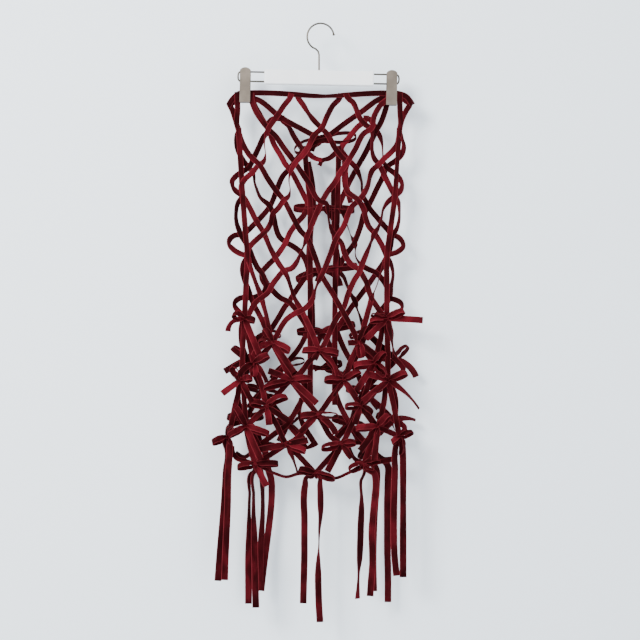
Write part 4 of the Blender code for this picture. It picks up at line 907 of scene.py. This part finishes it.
# %% Table of the front bows
NEAR, MIDDLE, FAR, FARTHEST = 16.4, 20.6, 24.8, 29.0
Bow = namedtuple("Bow", "column row plane arms")
FRONT_BOWS = (
    Bow(-4, 7, MIDDLE, (
        Loop(156, 19, 48, 5, 13), Loop(-6, 17, 30, 2, 9), End(181, 34, 46, 9, 88), End(-66, 60, 20, 6))),
    Bow(-2, 7, NEAR, (
        Loop(-22, 31, 34, 9, 15), Loop(118, 26, 30, 3, 12), End(188, 36, 20, 8, 62), End(-53, 58, 0, 4),
        Loop(172, 22, 66, 4, 12))),
    Bow(0, 7, MIDDLE, (
        Loop(174, 28, 26, 8, 10), Loop(-4, 30, 32, 4, 12), End(-34, 48, 58, 7, -50), End(232, 12, 0, 2))),
    Bow(2, 7, NEAR, (
        Loop(67, 29, 30, 0, 12), Loop(-80, 24, 45, 9, 11), End(176, 15, 30, 4), End(-36, 34, 0, 1))),
    Bow(4, 7, MIDDLE, (
        Loop(163, 27, 64, 1, 8), Loop(27, 30, 38, 6, 13), Loop(184, 28, 50, 7, 8), End(-1, 57, 5, 7),
        End(222, 46, 0, 6), End(-78, 56, 72, 2, -4))),
    Bow(-3, 8, FARTHEST, (
        Loop(33, 29, 34, 5, 13), Loop(-86, 19, 45, 8, 10), End(-40, 34, 55, 3, -30),
        End(196, 28, 20, 2, 58))),
    Bow(-1, 8, FAR, (
        Loop(10, 33, 32, 5, 13), Loop(192, 46, 50, 3, 11), End(152, 39, 10, 4, 6), End(-40, 54, 0, 5))),
    Bow(1, 8, FAR, (
        Loop(174, 31, 46, 5, 14), Loop(34, 31, 30, 5, 12), End(-52, 30, 10, 5), End(236, 26, 60, 2))),
    Bow(3, 8, FARTHEST, (
        Loop(183, 34, 36, 8, 15), Loop(52, 25, 50, 5, 12), Loop(-46, 24, 64, 5, 14), End(234, 50, 0, 5))),
    Bow(-4, 9, MIDDLE, (
        Loop(123, 27, 84, 3, 14), Loop(18, 19, 36, 8, 11), End(213, 33, 0, 9), End(-60, 40, 30, 3))),
    Bow(-2, 9, NEAR, (
        Loop(42, 38, 44, 5, 15, -14), Loop(162, 27, 48, 4, 13), End(-78, 26, 0, 7, -8),
        End(-31, 39, 0, 1))),
    Bow(0, 9, MIDDLE, (
        Loop(178, 27, 28, 5, 12), Loop(3, 33, 68, 3, 11), End(-28, 40, 0, 5, -38), End(222, 36, 20, 5))),
    Bow(2, 9, NEAR, (
        Loop(176, 25, 48, 6, 13), Loop(50, 34, 24, 3, 12), Loop(-28, 20, 30, 0, 14), End(-50, 28, 0, 2),
        End(250, 24, 0, 3))),
    Bow(4, 9, MIDDLE, (
        Loop(27, 32, 42, 5, 13), End(159, 34, 0, 5), End(-32, 66, 68, 5, -24), End(216, 52, 0, 4))),
    Bow(-3, 10, FARTHEST, (
        Loop(203, 29, 34, 5, 9), Loop(-12, 39, 36, 5, 11), Loop(115, 37, 30, 4, 11), End(-63, 54, 0, 5))),
    Bow(-1, 10, FAR, (
        Loop(-14, 32, 36, 9, 12), End(187, 44, 0, 3), Loop(16, 36, 20, 1, 6), End(-62, 47, 76, 4, -14))),
    Bow(1, 10, FAR, (
        Loop(185, 33, 58, 6, 13), Loop(16, 22, 50, 5, 11), End(240, 46, 0, 2), End(-52, 22, 30, 3))),
    Bow(3, 10, FARTHEST, (
        Loop(178, 36, 30, 8, 11), Loop(54, 27, 34, 7, 12), End(230, 45, 0, 2), End(-98, 50, 10, 4))),
    Bow(-4, 11, MIDDLE, (
        Loop(194, 24, 32, 3, 13), Loop(64, 20, 66, 2, 12),
        LongEnd(246, 0, ((-162, -741, 0, 2), (-164, -784, 0, 2), (-167, -835, 0, 2), (-171, -882, 0, 2),
            (-175, -929, 0, 2), (-178, -970, 0, 2))),
        LongEnd(-64, 2.6, ((-158, -741, 0, 4), (-160, -784, 0, 4), (-161, -842, 0, 4), (-163, -889, 5, 4),
            (-165, -936, 0, 4), (-166, -968, 0, 5))))),
    Bow(-2, 11, NEAR, (
        Loop(184, 28, 50, 3, 12), Loop(6, 38, 34, 1, 9), End(-60, 36, 0, 7),
        LongEnd(248, 2.6, ((-121, -784, 60, 4), (-123, -819, 68, 4), (-124, -854, 62, 4),
            (-124, -889, 35, 5), (-125, -928, 8, 5), (-125, -975, 0, 5), (-125, -1010, 0, 4))),
        LongEnd(268, 6.0, ((-116, -784, 60, 3), (-116, -819, 66, 3), (-116, -854, 55, 4),
            (-115, -889, 25, 4), (-114, -927, 0, 4), (-113, -974, 0, 3), (-112, -1016, 0, 1))))),
    Bow(0, 11, MIDDLE, (
        Loop(160, 28, 36, 1, 13), Loop(-10, 32, 68, 5, 12),
        LongEnd(208, 0, ((-22, -790, 50, 4), (-27, -806, 20, 5), (-29, -827, 0, 5), (-28, -858, 0, 5),
            (-28, -893, 0, 4), (-28, -928, 0, 4), (-29, -967, 0, 4), (-30, -1009, 0, 3))),
        LongEnd(-76, 2.0, ((-5, -790, 50, 4), (-1, -805, 35, 5), (0, -831, 20, 4), (0, -858, 50, 3),
            (-2, -881, 68, 6), (-3, -908, 80, 7), (-4, -936, 50, 5), (-4, -967, 10, 4), (-3, -1006, 0, 4),
            (-1, -1041, 0, 2))))),
    Bow(2, 11, NEAR, (
        Loop(196, 24, 62, 6, 15), Loop(22, 28, 50, 4, 12), Loop(-14, 16, 66, 3, 8),
        LongEnd(226, 4.0, ((72, -776, 55, 4), (70, -798, 60, 4), (71, -823, 60, 4), (71, -846, 30, 1),
            (70, -870, 15, 1), (69, -901, 15, 0), (68, -928, 30, 1), (66, -959, 68, 6), (65, -981, 60, 8),
            (64, -1001, 40, 9))),
        LongEnd(-58, 2.0, ((93, -784, 20, 5), (96, -799, 15, 6), (94, -827, 0, 6), (91, -858, 0, 6),
            (89, -885, 0, 6), (90, -916, 0, 5), (90, -943, 10, 5), (88, -969, 0, 4), (86, -997, 0, 4))))),
    Bow(4, 11, MIDDLE, (
        Loop(31, 22, 58, 1, 9), Loop(200, 14, 30, 8, 10), Loop(-70, 27, 74, 1, 9, -20),
        LongEnd(232, 0, ((129, -752, 20, 5), (129, -776, 15, 5), (128, -811, 10, 5), (127, -850, 0, 5),
            (127, -889, 0, 5), (128, -920, 15, 5), (130, -944, 10, 5), (132, -961, 0, 4))),
        LongEnd(-74, 3.0, ((143, -753, 0, 4), (143, -784, 10, 4), (143, -822, 20, 3), (143, -861, 15, 3),
            (143, -900, 0, 3), (143, -935, 0, 2), (143, -963, 0, 2))))),
)
print("front bows:", len(FRONT_BOWS))

# %% Table of the back bows, and all bows laid
BACK_SHAPES = (
    (Loop(170, 30, 40, 4), Loop(12, 30, 50, 5), End(258, 34, 0, 3), End(-48, 34, 10, 5)),
    (Loop(190, 28, 50, 5), Loop(30, 30, 36, 3), End(240, 30, 0, 4), End(-40, 40, 0, 3, -15)),
    (Loop(160, 30, 36, 3), Loop(-12, 28, 54, 5), End(220, 34, 0, 4, 20), End(-62, 34, 0, 3)),
)
BACK_BOWS = (
    Bow(-6, 7, NEAR, (
        Loop(112, 27, 44, 2, 12), Loop(-12, 19, 70, 1, 9), End(198, 30, 0, 2, 34), End(-62, 34, 0, 3))),
    Bow(6, 7, NEAR, BACK_SHAPES[1]),
    Bow(-5, 8, MIDDLE, (Loop(140, 32, 24, 4, 12), Loop(12, 26, 50, 3), End(207, 41, 0, 1), End(-62, 34))),
    Bow(-7, 8, FAR, (
        Loop(14, 30, 66, 3, 14), Loop(126, 26, 30, 2, 8), End(216, 32, 0, 1, 20), End(-62, 34, 0, 3))),
    Bow(5, 8, MIDDLE, (Loop(46, 31, 54, 6, 12), Loop(170, 26), End(-18, 46, 5, 3, -50), End(232, 30))),
    Bow(-6, 9, NEAR, BACK_SHAPES[2]),
    Bow(6, 9, NEAR, BACK_SHAPES[0]),
    Bow(-5, 10, MIDDLE, (
        Loop(170, 30, 40, 4), Loop(12, 30, 50, 5), End(-68, 34, 0, 2), End(-48, 34, 10, 5))),
    Bow(-7, 10, FAR, (
        Loop(40, 26, 52, 2, 13), Loop(168, 26, 40, 2, 9), End(244, 30, 0, 2), End(-40, 40, 0, 3, -15))),
    Bow(7, 10, FAR, BACK_SHAPES[2]),
    Bow(5, 10, MIDDLE, (Loop(-50, 30, 78, 3, 24), Loop(165, 28), End(8, 36, 62, 4, -22), End(225, 30))),
    Bow(-6, 11, NEAR, (
        Loop(102, 26, 50, 2, 10), Loop(-106, 24, 50, 2, 10),
        LongEnd(262, 0, ((-104, -793, 40, 1), (-102, -824, 55, 0), (-102, -860, 50, 0), (-104, -895, 30, 0),
            (-106, -934, 0, 1), (-107, -977, 0, 1))),
        LongEnd(-42, 3.0, ((-94, -776, 0, 6), (-87, -800, 0, 6), (-86, -824, 0, 5), (-88, -855, 0, 4),
            (-92, -890, 0, 4), (-96, -921, 0, 3), (-101, -960, 0, 3), (-105, -996, 0, 3))))),
    Bow(6, 11, NEAR, (
        Loop(236, 25, 40, 1, 10), Loop(72, 26, 50, 2, 10),
        LongEnd(246, 0, ((99, -784, 0, 4), (99, -808, 0, 4), (96, -847, 0, 4), (94, -890, 0, 4),
            (93, -937, 0, 4), (94, -996, 0, 3))),
        LongEnd(-64, 3.0, ((119, -776, 10, 3), (119, -800, 0, 3), (118, -839, 0, 2), (118, -882, 0, 2),
            (118, -921, 0, 2), (119, -964, 0, 2), (119, -1016, 0, 2))))),
)
SIDE_KNOT_Y = -2.7  # the net's depth under a bow on a side ribbon
lengths = []
for table, side, out in ((FRONT_BOWS, "front", FRONT), (BACK_BOWS, "back", -FRONT)):
    for line in table:
        place = crossing(line.column, line.row)
        place[1] = (SIDE_KNOT_Y if abs(line.column) == 4 else place[1]) + out[1] * KNOT_DEEP
        bow = Cloth()
        lay_bow(bow, place, line.arms, out, line.plane - abs(place[1]))
        hand = "m" if line.column == 0 else "l" if line.column < 0 else "r"
        node = f"bow_{side}_{line.row}_{hand}{abs(line.column)}"
        bow.piece(f"velvet_{node}", [node])
        lengths.append(bow.length)
print(len(lengths), "bows, ribbon in each:", round(min(lengths)), "to", round(max(lengths)), "mm")

# %% [markdown]
# ## The ties
#
# Six ties close the opening behind. The waist's has two wide loops and a knot of several turns, the next one
# is a plain knot, and the others have a bow or half a bow. Seen from the front they show through the net.

# %% Ties of the opening
Tie = namedtuple("Tie", "name height y lift arms")
TIES = (
    Tie("tie_waist", -201, 5.9, 8, (Loop(199, 49, 62, 2, 26), Loop(8, 58, 60, 4, 24))),
    Tie("tie_1", -237, 11.1, 3, (End(172, 3, 0, 8), End(232, 4, 0, 4))),
    Tie("tie_2", -322, 11.1, 3, (
        Loop(176, 48, 44, 7, 15), Loop(0, 54, 42, 6, 14), End(-22, 34, 0, 1, -70), End(216, 16, 0, 2))),
    Tie("tie_3", -430, 11.1, 3, (
        Loop(197, 46, 42, 5, 15), Loop(9, 60, 26, 4, 16), End(-8, 40, 0, 2, -78), End(246, 16, 0, 3))),
    Tie("tie_4", -537, 11.1, 3, (
        Loop(180, 42, 32, 2, 16), Loop(14, 57, 34, 5, 13), End(-62, 32, 20, 1), End(250, 24, 50, 2))),
    Tie("tie_5", -602, 11.1, 3, (End(178, 10, 0, 2), Loop(16, 34, 50, 1, 13), End(-16, 32, 20, 1))),
)
WRAPS = ((5.0, -197.5, 1.2), (4.0, -203.5, 0.0))  # the turns of the waist tie's knot: x, z, how far behind
# The points of one turn: how far to the side of its place, y, and how far up from it.
WRAP = ((-20, 3.6, -18), (-16, 2.6, -9), (-8, 1.4, -2), (0, 0.6, 0), (12, 1.4, 1))
for line in TIES:
    tie = Cloth()
    lay_bow(tie, np.array([TIE_X, line.y, line.height]), line.arms, -FRONT, line.lift)
    for x, z, gap in WRAPS if line.name == "tie_waist" else ():
        tie.lay([row((x + side, y + gap, z + up), nap=0.1) for side, y, up in WRAP], 2)
    tie.piece(f"velvet_{line.name}", [line.name])
print("ties:", len(TIES))

# %% [markdown]
# ## The hanger
#
# The bar, the rods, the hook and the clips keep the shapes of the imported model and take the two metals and
# the lacquer.

# %% Finish the hanger
for name, finish_of in (("bar", lacquer), ("hook", wire), ("rod_left", wire), ("rod_right", wire),
                        ("clip_left", nickel), ("clip_right", nickel)):
    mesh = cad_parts[name].data
    mesh.materials.clear()
    mesh.materials.append(finish_of)
print("hanger finished")

# %% [markdown]
# ## Wall, floor and light
#
# The skirt hangs just in front of a pale wall. From behind, the wall is clear, so that the back of the skirt
# can be looked at too. Soft daylight comes from the upper left: a large area light gives the direction, a
# second one fills from the right, and the sky lifts the rest.

# %% Stage and light
wall_paint, start, shader = finish("wall paint", Base_Color=(0.81, 0.868, 0.918, 1.0), Roughness=0.9)
hidden = start.node("NewGeometry", output=6)
clear = start.node("BsdfTransparent")
mixed = start.node("MixShader", {0: hidden, 1: Socket(start.tree, shader.outputs[0]), 2: clear})
start.tree.links.new(mixed.socket, start.tree.nodes["Material Output"].inputs[0])


def sheet_of_stage(name, corners, material):
    mesh = bpy.data.meshes.new(name)
    mesh.from_pydata(corners, [], [(0, 1, 2, 3)])
    mesh.materials.append(material)
    made = bpy.data.objects.new(name, mesh)
    bpy.context.scene.collection.objects.link(made)


WALL_Y, FLOOR_Z = 0.045, -1.30
wall_corners = [(-4, WALL_Y, FLOOR_Z), (4, WALL_Y, FLOOR_Z), (4, WALL_Y, 3), (-4, WALL_Y, 3)]
sheet_of_stage("wall", wall_corners, wall_paint)
floor_paint, _, _ = finish("floor paint", Base_Color=(0.74, 0.75, 0.76, 1.0), Roughness=0.9)
sheet_of_stage("floor", [(-4, -5, FLOOR_Z), (4, -5, FLOOR_Z), (4, 4, FLOOR_Z), (-4, 4, FLOOR_Z)], floor_paint)


def lit(name, place, aim_at, size, power, colour):
    lamp = bpy.data.objects.new(name, bpy.data.lights.new(name, "AREA"))
    lamp.data.size, lamp.data.energy, lamp.data.color = size, power, colour
    lamp.location = place
    lamp.rotation_mode = "QUATERNION"
    lamp.rotation_quaternion = (Vector(aim_at) - Vector(place)).to_track_quat("-Z", "Y")
    bpy.context.scene.collection.objects.link(lamp)


lit("window", (-1.7, -2.3, 1.0), (0, 0, -0.5), 1.1, 170, (1.0, 0.99, 0.97))
lit("fill", (1.8, -2.6, 0.2), (0, 0, -0.5), 2.2, 46, (0.97, 0.98, 1.0))
world = bpy.data.worlds.new("sky")
world.use_nodes = True
world.node_tree.nodes["Background"].inputs[0].default_value = (0.86, 0.91, 0.97, 1.0)
world.node_tree.nodes["Background"].inputs[1].default_value = 1.5
bpy.context.scene.world = world
